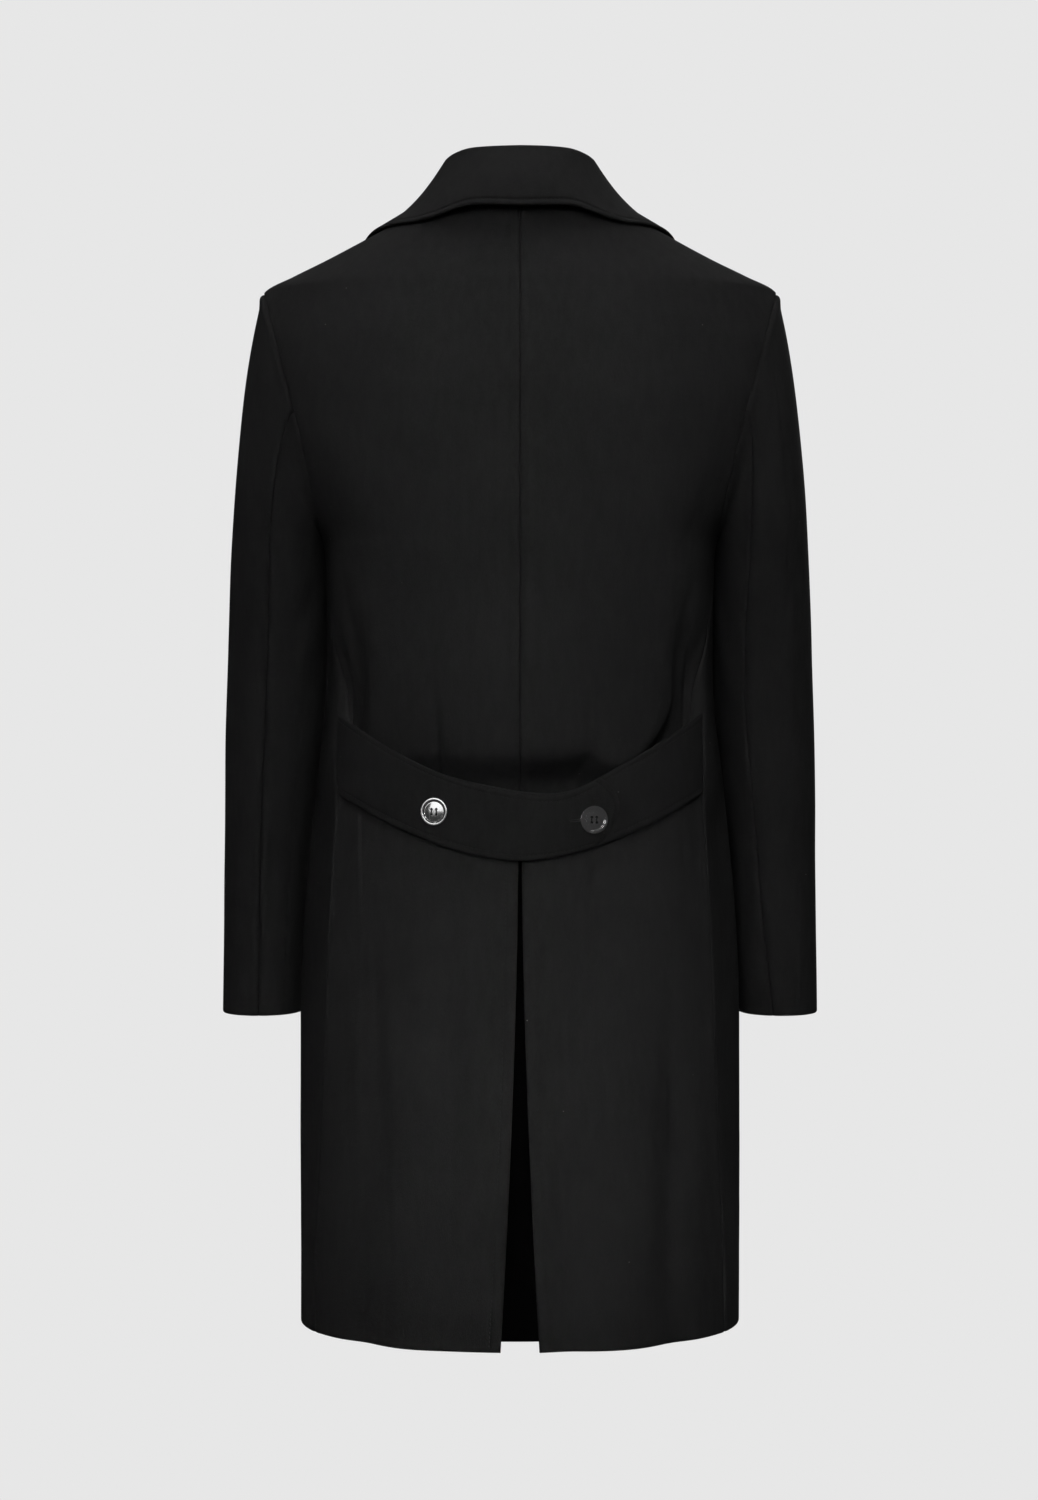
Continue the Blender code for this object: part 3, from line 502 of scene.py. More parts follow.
    def bloused(self, x: Array, z: Array) -> Array:
        """How the back hangs at the waist.

        Args:
            x: Where the points lie across the back.
            z: The points' heights.

        Returns:
            How far the cloth swells above the half belt, slumps in below the brim of that swell, comes out
            again behind the belt, and stands full below it.
        """
        step = 0.5 * MM
        lean = (self.brim.read("height", x + step) - self.brim.read("height", x - step)) / (2 * step)
        below = (self.brim.read("height", x) - z) / np.hypot(1, lean)
        deepest = self.brim.read("deepest", x)
        slump = self.brim.read("slope", x) * (np.hypot(below, self.brim.read("turn", x)) + below) / 2
        slump = deepest * np.tanh(slump / deepest) * (1 - ease(*self.wedge_top, z))
        belt, reach = self.belt_height(x), self.belt_reach(x)
        behind = ease(*(belt + share * reach for share in self.behind_belt), z)
        swell = self.brim.read("bulge", x) * (1 - ease(self.bulge_from[1], self.bulge_from[0], z))
        under = belt - reach - z
        full = ease(*self.fullness_top, under) * (1 - ease(self.fullness_top[1], self.fullness_run, under))
        full = self.fullness.read("lift", np.abs(x)) * full
        return swell * (1 - ease(*self.brim_edge, below)) - slump * behind + full

    def relief(self, p: Array) -> Array:
        """The waist, the flat sides below the sleeves, the creases and the unevenness of hanging cloth.

        Args:
            p: Points of a body piece.

        Returns:
            How far each point stands out.
        """
        x, y, z = np.moveaxis(p, -1, 0)
        half = self.angle_at(x, z)
        angle = np.where(y > 0, half, np.sign(x) * 180 - half)
        total = uneven(p) + np.where(y > 0, self.bloused(x, z), 0)
        seam = self.side_seams.read("angle", z)
        share = np.clip((np.abs(angle) - seam) / (self.side_flat_to - seam), 0, 1)
        beside = ease(*self.side_run[:2], z) * (1 - ease(*self.side_run[2:], z))
        total = total - self.side_flat * 4 * share * (1 - share) * beside
        for crease in self.creases:
            total = total + crease.height(angle, z, self.degrees_a_metre)
        return total

    def shoulder_height(self, x: Array) -> Array:
        """The ridge of the shoulder, from the neck point out to the top of the sleeve."""
        heights = np.linspace(self.neck_point, self.shoulder, self.ridge_samples)
        return np.interp(x, self.ring("half_width", heights), heights)

    def armhole_x(self, z: Array) -> Array:
        """How far out the armhole lies at a height."""
        share = np.clip((z - self.underarm) / (self.shoulder - self.underarm), 0, 1)
        return self.underarm_x + (self.shoulder_x - self.underarm_x) * share ** self.armhole_bend

    def armhole_share(self, k: Array) -> Array:
        """How far up the armhole a station is: 0 is the underarm and the last one is the shoulder."""
        return (1 - np.cos(np.pi * np.clip(k / self.arm_stations, 0, 1))) / 2

    def side_seam(self, z: Array, lap: float) -> Array:
        """The side seam's angle at a height, moved round the coat by a lap."""
        return self.side_seams.read("angle", z) + np.degrees(lap / self.ring("half_width", z))

    def row_levels(self, v: Array) -> tuple[Array, Array]:
        """A panel's row as a height below the underarm and a share of the way up the armhole above it."""
        low = self.hem + (self.underarm - self.hem) * np.clip(2 * v, 0, 1)
        return low, np.where(v > 0.5, self.armhole_share((2 * v - 1) * self.arm_stations), 0.0)


WAVES = ((41, 17, 6, 0.4, 0.22), (23, -31, 9, 1.9, 0.2), (67, 29, -14, 2.6, 0.1), (15, 52, 21, 4.4, 0.12))


def uneven(p: Array) -> Array:
    """The slight unevenness of heavy wool: long shallow waves that run mostly down the cloth."""
    return MM * sum(a * np.sin(x * p[..., 0] + y * p[..., 1] + z * p[..., 2] + s) for x, y, z, s, a in WAVES)


def linear(hex_colour: str) -> tuple[float, float, float, float]:
    """Turns an sRGB hex colour into linear red, green and blue, with full cover."""
    parts = [int(hex_colour[i:i + 2], 16) / 255 for i in (1, 3, 5)]
    return tuple(c / 12.92 if c <= 0.04045 else ((c + 0.055) / 1.055) ** 2.4 for c in parts) + (1.0,)


def feed(tree: Tree, node: bpy.types.Node, inputs: dict) -> None:
    """Sets a node's inputs, by name or number, or links them where a socket is given.

    Args:
        tree: The node tree.
        node: The node.
        inputs: A value or a socket for each input.
    """
    for name, value in inputs.items():
        if isinstance(value, Socket):
            tree.links.new(value, node.inputs[name])
        else:
            node.inputs[name].default_value = value


def add(tree: Tree, kind: str, inputs: dict | None = None, **settings: object) -> bpy.types.Node:
    """Adds a shader node.

    Args:
        tree: The material's node tree.
        kind: The node's type.
        inputs: For each input, by name or number, a value to set or a socket to link.
        **settings: The node's own settings.

    Returns:
        The node.
    """
    node = tree.nodes.new(kind)
    for name, value in settings.items():
        setattr(node, name, value)
    feed(tree, node, inputs or {})
    return node


def place_of(tree: Tree, scale: Triple | None = None) -> Socket:
    """Adds the place on the piece that a texture reads, squeezed by a scale where one is given."""
    place = add(tree, "ShaderNodeTexCoord").outputs["Object"]
    return add(tree, "ShaderNodeMapping", {"Vector": place, "Scale": scale}).outputs[0] if scale else place


def noise(tree: Tree, place: Socket, grain_mm: float, detail: float, **more: float) -> Socket:
    """Adds noise with grains of a size in millimetres; more sets its other inputs."""
    inputs = {"Vector": place, "Scale": 1000 / grain_mm, "Detail": detail}
    return add(tree, "ShaderNodeTexNoise", inputs | {n.title(): v for n, v in more.items()}).outputs["Fac"]


def maths(tree: Tree, operation: str, *values: Socket | float) -> Socket:
    """Adds one step of arithmetic."""
    return add(tree, "ShaderNodeMath", dict(enumerate(values)), operation=operation).outputs[0]


def blend(tree: Tree, share: Socket, first: Socket | tuple, second: tuple) -> Socket:
    """Adds a mix of two colours."""
    return add(tree, "ShaderNodeMix", {"Factor": share, 6: first, 7: second}, data_type="RGBA").outputs[2]


def new_material(name: str) -> tuple[Material, Tree, bpy.types.Node]:
    """Makes a material and gives it with its node tree and its shader.

    Args:
        name: The material's name.

    Returns:
        The material, its node tree and its shader.
    """
    made = bpy.data.materials.new(name)
    made.use_nodes = True
    return made, made.node_tree, made.node_tree.nodes["Principled BSDF"]


@dataclass(frozen=True)
class Wool:
    """Black melton: a heavy wool that is milled and cropped until its short nap hides the weave.

    The eye gets a matt black with a faint downward nap, streaky patches where the nap lies over, a slow
    mottle from handling, and a few specks of lint.
    """

    name: str = "black_melton_wool"
    deep: str = "#191919"
    lit: str = "#292929"
    lint: str = "#626262"
    nap_mm: float = 1.1
    nap_stretch: float = 0.38
    nap_weight: float = 0.55
    fibre_mm: float = 0.35
    fibre_weight: float = 0.5
    mottle_mm: float = 60.0
    mottle_weight: float = 0.35
    patch_mm: float = 6.5
    patch_stretch: float = 0.30
    patch_weight: float = 0.70
    darker: float = -0.30
    lint_apart_mm: float = 26.0
    lint_mm: float = 0.7
    lint_core: float = 0.4
    lint_rarity: float = 0.62
    pile_mm: float = 0.35
    pile_strength: float = 0.45
    roughness: float = 0.96
    specular: float = 0.01

    def material(self) -> Material:
        """Makes the wool.

        Returns:
            The material.
        """
        made, tree, shader = new_material(self.name)
        place = place_of(tree)
        nap = noise(tree, place_of(tree, (1, 1, self.nap_stretch)), self.nap_mm, 3.0, roughness=0.62)
        fibre = noise(tree, place, self.fibre_mm, 1.0, distortion=1.2)
        mottle = noise(tree, place, self.mottle_mm, 2.0)
        patch = noise(tree, place_of(tree, (1, 1, self.patch_stretch)), self.patch_mm, 3.0, roughness=0.55)
        shade = maths(tree, "MULTIPLY_ADD", nap, self.nap_weight, self.darker)
        for part, weight in ((mottle, self.mottle_weight), (patch, self.patch_weight)):
            shade = maths(tree, "MULTIPLY_ADD", part, weight, shade)
        cloth = blend(tree, shade, linear(self.deep), linear(self.lit))
        apart, near = 1000 / self.lint_apart_mm, self.lint_mm / self.lint_apart_mm
        cells = add(tree, "ShaderNodeTexVoronoi", {"Vector": place, "Scale": apart}).outputs
        ends = {"From Min": self.lint_core * near, "From Max": near, "To Min": 1.0, "To Max": 0.0}
        speck = add(tree, "ShaderNodeMapRange", {"Value": cells["Distance"]} | ends).outputs[0]
        few = maths(tree, "GREATER_THAN", cells["Color"], self.lint_rarity)
        colour = blend(tree, maths(tree, "MULTIPLY", speck, few), cloth, linear(self.lint))
        pile = maths(tree, "MULTIPLY_ADD", fibre, self.fibre_weight, nap)
        bump = add(tree, "ShaderNodeBump", {"Height": pile, "Strength": self.pile_strength,
                                            "Distance": self.pile_mm * MM}).outputs[0]
        feed(tree, shader, {"Base Color": colour, "Normal": bump, "Roughness": self.roughness,
                            "Specular IOR Level": self.specular})
        return made


@dataclass(frozen=True)
class Horn:
    """Dark horn, turned and polished: near black, with fine pale streaks under a clear gloss."""

    dark: str = "#0E0E0E"
    pale: str = "#303030"
    streak_mm: float = 2.2
    streak_squeeze: Triple = (0.25, 1, 1)
    streak_from: Pair = (0.45, 0.80)
    roughness: Pair = (0.11, 0.25)
    bends_light: float = 1.56
    gloss: Pair = (0.8, 0.06)

    def material(self) -> Material:
        """Makes the horn.

        Returns:
            The material.
        """
        made, tree, shader = new_material("polished_dark_horn")
        streak = noise(tree, place_of(tree, self.streak_squeeze), self.streak_mm, 4.0, distortion=0.8)
        thin = add(tree, "ShaderNodeMapRange", {"Value": streak, "From Min": self.streak_from[0],
                                                "From Max": self.streak_from[1]}).outputs[0]
        worn = add(tree, "ShaderNodeMapRange", {"Value": streak, "To Min": self.roughness[0],
                                                "To Max": self.roughness[1]}).outputs[0]
        colour = blend(tree, thin, linear(self.dark), linear(self.pale))
        feed(tree, shader, {"Base Color": colour, "Roughness": worn, "IOR": self.bends_light,
                            "Coat Weight": self.gloss[0], "Coat Roughness": self.gloss[1]})
        return made


@dataclass(frozen=True)
class Thread:
    """Black spun-polyester sewing thread, twisted: it shows on the wool as a slightly smoother line."""

    colour: str = "#181818"
    twist_mm: float = 0.5
    bands_a_unit: float = 6.3
    twist_depth: float = 0.1 * MM
    twist_strength: float = 0.3
    roughness: float = 0.75
    specular: float = 0.08

    def material(self) -> Material:
        """Makes the thread.

        Returns:
            The material.
        """
        made, tree, shader = new_material("black_polyester_thread")
        scale = 1000 / self.twist_mm / self.bands_a_unit
        ply = add(tree, "ShaderNodeTexWave", {"Vector": place_of(tree), "Scale": scale, "Distortion": 2.0},
                  bands_direction="DIAGONAL").outputs["Fac"]
        bump = add(tree, "ShaderNodeBump", {"Height": ply, "Strength": self.twist_strength,
                                            "Distance": self.twist_depth}).outputs[0]
        feed(tree, shader, {"Base Color": linear(self.colour), "Normal": bump, "Roughness": self.roughness,
                            "Specular IOR Level": self.specular})
        return made


def on_coat(mesh: bpy.types.Mesh) -> Object:
    """Puts a mesh on the coat's one body, as a piece of the same name.

    Args:
        mesh: The piece's mesh.

    Returns:
        The piece.
    """
    made = bpy.data.objects.new(mesh.name, mesh)
    bpy.context.scene.collection.objects.link(made)
    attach(made, "root")
    return made


def mesh_object(name: str, points: Array, faces: list, material: Material) -> Object:
    """Makes a smooth mesh at the origin and puts it on the coat's one body.

    Args:
        name: The piece's name.
        points: Its points.
        faces: Its faces, by point number.
        material: Its finish.

    Returns:
        The piece.
    """
    mesh = bpy.data.meshes.new(name)
    mesh.from_pydata(points.reshape(-1, 3).tolist(), [], faces)
    mesh.materials.append(material)
    mesh.shade_smooth()
    return on_coat(mesh)


@dataclass
class Wall:
    """A laid-out piece of cloth: both faces as grids, and how far each point is from the four edges."""

    outer: Array
    inner: Array
    normal: Array
    from_edge: tuple[Array, Array, Array, Array]

    def line(self, edge: int, distance: float, begin: float = 0.0, end: float = 1.0) -> tuple[Array, Array]:
        """Finds the line on the outer face that runs at a distance from one edge.

        Args:
            edge: 0 and 1 are the first and last columns, 2 and 3 the first and last rows.
            distance: How far in the line runs.
            begin: The share of the line's length to start at.
            end: The share of the line's length to stop at.

        Returns:
            The line's points, and the cloth's normal at each.
        """
        grids = [self.outer, self.normal, self.from_edge[edge]]
        if edge > 1:
            grids = [np.swapaxes(g, 0, 1) for g in grids]
        if edge % 2:
            grids = [g[::-1] for g in grids]
        spots, normals, far = grids
        at = np.clip((far < distance).sum(0), 1, len(far) - 1)
        column = np.arange(far.shape[1])
        near, beyond = far[at - 1, column], far[at, column]
        t = np.clip((distance - near) / np.maximum(beyond - near, TINY), 0, 1)[:, None]
        line = spots[at - 1, column] * (1 - t) + spots[at, column] * t
        facing = unit(normals[at - 1, column] * (1 - t) + normals[at, column] * t)
        run = run_lengths(line, 0)
        kept = (run >= begin * run[-1]) & (run <= end * run[-1]) & (far[-1] > 2 * distance)
        return line[kept], facing[kept]


@dataclass(frozen=True)
class Cut:
    """The flat piece of cloth before sewing: the width and length of its rectangle, and its own area."""

    width: float
    length: float
    area: float


@dataclass
class ClothPiece:
    """A cut piece of wool, laid on its shape as a wall with rounded, sewn edges."""

    form: CoatForm
    side: Side = Side.LEFT
    thickness: float = 2.6 * MM
    steps: Pair = (2.6 * MM, 6.0 * MM)
    edges: Edges = (Edge.SEAM,) * 4
    rests_on: tuple[str, ...] = ()
    called: str = ""
    facing: int = 1
    stiffened: float | None = None

    @property
    def node(self) -> str:
        """The solid that this piece stands for."""
        return self.called.format(side=self.side.word)

    @property
    def turn(self) -> int:
        """1 where columns and rows cross with the face outwards, and -1 where they cross the other way."""
        return self.facing * self.side.value

    def place(self, u: Array, v: Array) -> Array:
        """The outer face's points: u runs along the columns and v along the rows, from 0 to 1."""
        raise NotImplementedError

    def relief(self, p: Array, u: Array, v: Array) -> Array:
        """How far the creases stand out; a stiffened piece only keeps a share of the cloth's unevenness."""
        return self.form.relief(p) if self.stiffened is None else self.stiffened * uneven(p)

    def finish(self, edge: int, far: Array, p: Array) -> tuple[Array, Array]:
        """How one edge is finished.

        Args:
            edge: The edge's number.
            far: How far points lie from it.
            p: The points.

        Returns:
            The share of the thickness that is left at each point, and how far the edge lifts it.
        """
        shape = self.edges[edge].value
        return shape.roundness(far) * shape.squeeze(far), shape.rise(far)

    def lay(self) -> Wall:
        """Lays the cloth out: its shape, its creases, and its edges rounded and pinched by their sewing.

        Returns:
            The wall.
        """
        shares = np.linspace(0, 1, LINE_SAMPLES)
        half = np.full_like(shares, 0.5)
        shapes = [edge.value for edge in self.edges]
        columns = spaced(self.place(shares, half), shares, self.steps[0], shapes[0].marks, shapes[1].marks)
        rows = spaced(self.place(half, shares), shares, self.steps[1], shapes[2].marks, shapes[3].marks)
        u, v = np.meshgrid(columns, rows, indexing="ij")
        p = self.place(u, v)
        normal = self.turn * unit(np.cross(np.gradient(p, columns, axis=0), np.gradient(p, rows, axis=1)))
        across, down = run_lengths(p, 0), run_lengths(p, 1)
        from_edge = (across, across[-1:] - across, down, down[:, -1:] - down)
        full, lift = np.ones(p.shape[:2]), self.relief(p, u, v)
        for edge, far in enumerate(from_edge):
            share, rise = self.finish(edge, far, p)
            full, lift = full * share, lift + rise
        middle = p + normal * (lift - self.thickness / 2)[..., None]
        wall = normal * (full * self.thickness / 2)[..., None]
        return Wall(middle + wall, middle - wall, normal, from_edge)

    def build(self, wool: Material) -> Wall:
        """Makes the piece from its wall and puts it in its solid's place.

        Args:
            wool: The cloth.

        Returns:
            The wall, for what is sewn to it.
        """
        wall = self.lay()
        n, m = wall.outer.shape[:2]
        number = np.arange(n * m).reshape(n, m)
        back = number.copy()
        back[1:-1, 1:-1] = n * m + np.arange((n - 2) * (m - 2)).reshape(n - 2, m - 2)
        points = np.concatenate((wall.outer.reshape(-1, 3), wall.inner[1:-1, 1:-1].reshape(-1, 3)))

        def quads(g: Array, turn: int) -> list:
            """The faces of one side of the wall."""
            ring = np.stack((g[:-1, :-1], g[1:, :-1], g[1:, 1:], g[:-1, 1:]), axis=-1).reshape(-1, 4)
            return ring[:, ::turn].tolist()

        name = f"{self.node}_wool"
        made = mesh_object(name, points, quads(number, self.turn) + quads(back, -self.turn), wool)
        ways = np.stack((wall.from_edge[0], wall.from_edge[2]), axis=-1)
        flat = np.concatenate((ways.reshape(-1, 2), ways[1:-1, 1:-1].reshape(-1, 2)))
        corners = np.zeros(len(made.data.loops), np.int32)
        made.data.loops.foreach_get("vertex_index", corners)
        made.data.uv_layers.new(name="cut").data.foreach_set("uv", flat[corners].astype(np.float32).ravel())
        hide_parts(self.node)
        return wall

    def cut(self, wall: Wall) -> Cut:
        """Measures the flat piece: its widest row, its longest column and the area of its face.

        Args:
            wall: The piece as it is laid.

        Returns:
            The flat piece.
        """
        p = wall.outer
        area = np.linalg.norm(np.cross(p[1:, 1:] - p[:-1, :-1], p[:-1, 1:] - p[1:, :-1]), axis=-1).sum() / 2
        return Cut(float(wall.from_edge[0].max()), float(wall.from_edge[2].max()), float(area))


@dataclass
class BackPanel(ClothPiece):
    """The left or right back: columns run from the centre back to the side seam, rows from the hem up."""

    called: str = "back_{side}"
    facing: int = -1
    steps: Pair = (2.6 * MM, 2.8 * MM)
    edges: Edges = (Edge.PLEAT_FOLD, Edge.SEAM, Edge.FOLDED, Edge.SHOULDER)
    pleat_top: float = -0.572
    half_open: Pair = (1.4 * MM, 17.0 * MM)
    spread: float = 1.7
    column_power: float = 0.87
    seam_blend: float = 4.0 * MM

    def pleat_open(self, z: Array) -> Array:
        """Half the width that the pleat stands open at a height; above it the two backs meet in a seam.

        Args:
            z: Heights.

        Returns:
            The half widths.
        """
        share = np.clip((self.pleat_top - z) / (self.pleat_top - self.form.hem), 0, 1)
        opened = self.half_open[0] + (self.half_open[1] - self.half_open[0]) * share ** self.spread
        return np.where(z < self.pleat_top, opened, -SEAM_LAP)

    def place(self, u: Array, v: Array) -> Array:
        """The outer face's points.

        Args:
            u: Places along the columns, from 0 to 1.
            v: Places along the rows, from 0 to 1.

        Returns:
            The points.
        """
        form, side = self.form, self.side.value
        low, up = form.row_levels(v)
        outer_z = low + (form.shoulder - form.underarm) * up
        seam = np.radians(form.side_seam(low, SEAM_LAP))
        seam_x = form.ring("half_width", low) * np.sin(seam) ** (2 / form.ring("squareness", low))
        outer_x = np.where(up > 0, form.armhole_x(outer_z), seam_x)
        spread = np.radians(np.abs(form.angle_at(outer_x, outer_z)))
        along = (np.sin(spread * u) / np.sin(spread)) ** self.column_power
        top_x = form.shoulder_x * np.sin(np.pi / 2 * u) ** self.column_power
        neck_z = form.neck_back + (form.neck_point - form.neck_back) * (top_x / form.neck_point_x) ** 2
        top_z = np.where(top_x < form.neck_point_x, neck_z, form.shoulder_height(top_x))
        z = low + (top_z - form.underarm) * up
        inner = self.pleat_open(z)
        x = inner + (outer_x - inner) * along
        on_seam = (up > 1 - TINY) & (top_x >= form.neck_point_x)
        y = np.where(on_seam, -SEAM_LAP, form.depth_at(x, z, 1))
        return form.folded(stack(side * x, y, z), side * form.angle_at(x, z))

    def finish(self, edge: int, far: Array, p: Array) -> tuple[Array, Array]:
        """The centre back is a seam above the pleat and a stitched fold along it.

        Args:
            edge: The edge's number.
            far: How far points lie from it.
            p: The points.

        Returns:
            The share of the thickness that is left at each point, and how far the edge lifts it.
        """
        if edge:
            return super().finish(edge, far, p)
        fold, seam = Edge.PLEAT_FOLD.value, Edge.SEAM.value
        sewn = ease(self.pleat_top - self.seam_blend, self.pleat_top + self.seam_blend, p[..., 2])
        full = (1 - sewn) * fold.roundness(far) * fold.squeeze(far) + sewn * seam.roundness(far)
        return full, sewn * seam.rise(far)


@dataclass
class Pleat(ClothPiece):
    """The underlay of the inverted pleat: along the inside of one back, round, and to the other."""

    called: str = "pleat"
    back: BackPanel | None = None
    edges: Edges = (Edge.FOLDED,) * 4
    hem_rise: float = 4.0 * MM
    underlap: float = 42.0 * MM
    turn_radius: Pair = (4.5 * MM, 14.0 * MM)
    turn_run: Pair = (0.32, 0.62)

    def place(self, u: Array, v: Array) -> Array:
        """The points of the face that shows between the folds.

        Args:
            u: Places along the columns, from 0 to 1.
            v: Places along the rows, from 0 to 1.

        Returns:
            The points.
        """
        form, low = self.form, self.form.hem + self.hem_rise
        z = low + (self.back.pleat_top - low) * v
        half = np.abs(2 * u - 1)
        side = np.where(u < 0.5, -1.0, 1.0)
        turn = self.turn_radius[0] + (self.turn_radius[1] - self.turn_radius[0]) * (1 - v)
        edge = self.back.pleat_open(z)
        far = edge + self.underlap
        begin, end = self.turn_run
        bend = np.clip((end - half) / (end - begin), 0, 1) * np.pi
        out = np.where(half > end, edge + (far - edge) * (1 - half) / (1 - end), far)
        out = np.where(half < begin, far * half / begin, out)
        x = out + np.where((half > begin) & (half <= end), turn * np.sin(bend), 0)
        folds = form.fold_depth(form.angle_at(side * out, z), z)
        wall = form.depth_at(out, z, 1) + folds - self.back.thickness - 2 * LIE_GAP
        return stack(side * x, wall - turn * (1 - np.cos(bend)), z)


@dataclass
class FrontPanel(ClothPiece):
    """The left or right front: columns run from the side seam to the front edge and the lapel's roll."""

    called: str = "front_{side}"
    facing: int = -1
    edges: Edges = (Edge.SEAM, Edge.STITCHED, Edge.FOLDED, Edge.SHOULDER)
    steps: Pair = (3.2 * MM, 6.0 * MM)
    overlap: float = 0.085
    lapel_break: float = -0.330
    step_down: Pair = (0.130, 0.092)

    def edge_x(self, z: Array) -> Array:
        """The front edge, then the lapel's roll line up to the neck point."""
        share = np.clip((z - self.lapel_break) / (self.form.neck_point - self.lapel_break), 0, 1)
        return -self.overlap + (self.form.neck_point_x + self.overlap) * share

    def sunk(self, x: Array) -> Array:
        """How much further in the right front lies where it passes under the left one.

        Args:
            x: Where points lie across the coat.

        Returns:
            How far in they lie.
        """
        if self.side is Side.LEFT:
            return np.zeros_like(np.asarray(x, float))
        return (self.thickness + 2 * LIE_GAP) * ease(-self.step_down[0], -self.step_down[1], x)

    def spot(self, x: Array, z: Array, out: float = 0.0) -> Array:
        """A point on this front, with x counted towards the front's own side.

        Args:
            x: Where the points lie across this front.
            z: Their heights.
            out: How far off the cloth they lie.

        Returns:
            The points.
        """
        side = self.side.value
        p = stack(side * x, self.form.depth_at(x, z, -1), z)
        return self.form.lift(p, out - self.sunk(side * x))

    def place(self, u: Array, v: Array) -> Array:
        """The outer face's points.

        Args:
            u: Places along the columns, from 0 to 1.
            v: Places along the rows, from 0 to 1.

        Returns:
            The points.
        """
        form, side = self.form, self.side.value
        low, up = form.row_levels(v)
        outer_z = low + (form.shoulder - form.underarm) * up
        seam = form.side_seam(low, -SEAM_LAP)
        outer = np.where(up > 0, 180 - form.angle_at(form.armhole_x(outer_z), outer_z), seam)
        inner_z = low + (form.neck_point - form.underarm) * up
        inner = 180 - form.angle_at(self.edge_x(inner_z), inner_z)
        angle = np.radians(outer + (inner - outer) * u)
        top_z = form.shoulder_height(form.shoulder_x + (form.neck_point_x - form.shoulder_x) * u)
        z = low + (top_z - form.underarm) * up
        sine, cosine = np.sin(angle), np.cos(angle)
        power = 2 / form.ring("squareness", z)
        x = form.ring("half_width", z) * np.sign(sine) * np.abs(sine) ** power
        depth = np.where(cosine > 0, form.ring("back_depth", z), form.ring("front_depth", z))
        y = np.where(up > 1 - TINY, SEAM_LAP, depth * np.sign(cosine) * np.abs(cosine) ** power)
        p = form.folded(stack(side * x, y, z), side * np.degrees(angle))
        return form.lift(p, -self.sunk(side * x) * (cosine < 0))


@dataclass
class Lapel(ClothPiece):
    """A lapel turned back on its front: columns run out from the roll, rows from the break to the gorge."""

    called: str = "lapel_{side}"
    front: FrontPanel | None = None
    edges: Edges = (Edge.FOLDED, Edge.STITCHED, Edge.FOLDED, Edge.STITCHED)
    steps: Pair = (2.4 * MM, 3.4 * MM)
    gorge: float = -0.055
    gorge_drop: float = 0.9 * MM
    tip: Pair = (0.166, -0.150)
    notch: Pair = (0.122, -0.086)
    notch_share: float = 0.62
    low_width: float = 6.0 * MM
    right_low: Pair = (0.053, -0.243)
    roll_radius: float = 3.4 * MM
    roll_share: float = 0.2
    roll_start: Pair = (0.006, 0.012)
    roll_turn: Pair = (0.6, 0.4)
    roll_fade: Pair = (0.8, 1.0)
    roll_way: Pair = (-0.002, 0.001)
    under_collar: Pair = (0.003, 0.002)
    gorge_pull: int = 3
    lie: float = 1.4 * LIE_GAP

    def place(self, u: Array, v: Array) -> Array:
        """The outer face's points.

        Args:
            u: Places along the columns, from 0 to 1.
            v: Places along the rows, from 0 to 1.

        Returns:
            The points.
        """
        front, neck = self.front, self.form.neck_point
        gorge_z = self.gorge - self.under_collar[0]
        if self.side is Side.LEFT:
            start = front.lapel_break + self.roll_start[0]
            low = (front.edge_x(np.array(front.lapel_break)) + self.low_width, front.lapel_break)
        else:
            rise = front.overlap / (self.form.neck_point_x + front.overlap)
            start = front.lapel_break + (neck - front.lapel_break) * rise + self.roll_start[1]
            low = self.right_low
        roll_z = start + (self.gorge - start) * v
        roll_x = front.edge_x(roll_z)
        outer_x = low[0] + (self.tip[0] - low[0]) * v
        outer_z = low[1] + (self.tip[1] - low[1]) * v
        across = np.clip((u - self.roll_share) / (1 - self.roll_share), 0, 1)
        marks = (0, self.notch_share, 1)
        top_x = np.interp(across, marks, (front.edge_x(gorge_z), self.notch[0], self.tip[0]))
        top_z = np.interp(across, marks, (gorge_z, self.notch[1] - self.under_collar[1], self.tip[1]))
        pull = v ** self.gorge_pull
        x = (roll_x + (outer_x - roll_x) * across) * (1 - pull) + pull * top_x
        z = (roll_z + (outer_z - roll_z) * across) * (1 - pull) + pull * top_z - self.gorge_drop
        turn = self.roll_turn[0] - self.roll_turn[1] * ease(*self.roll_fade, v)
        turned = np.clip(1 - u / self.roll_share, 0, 1) * np.pi * turn
        flat = front.spot(x, z, self.lie + self.thickness)
        base = front.spot(x, z)
        inward = unit(front.spot(x + self.roll_way[0], z + self.roll_way[1]) - base)
        down = unit(base - flat)
        bent = inward * np.sin(turned)[..., None] + down * (1 - np.cos(turned))[..., None]
        return flat + bent * self.roll_radius


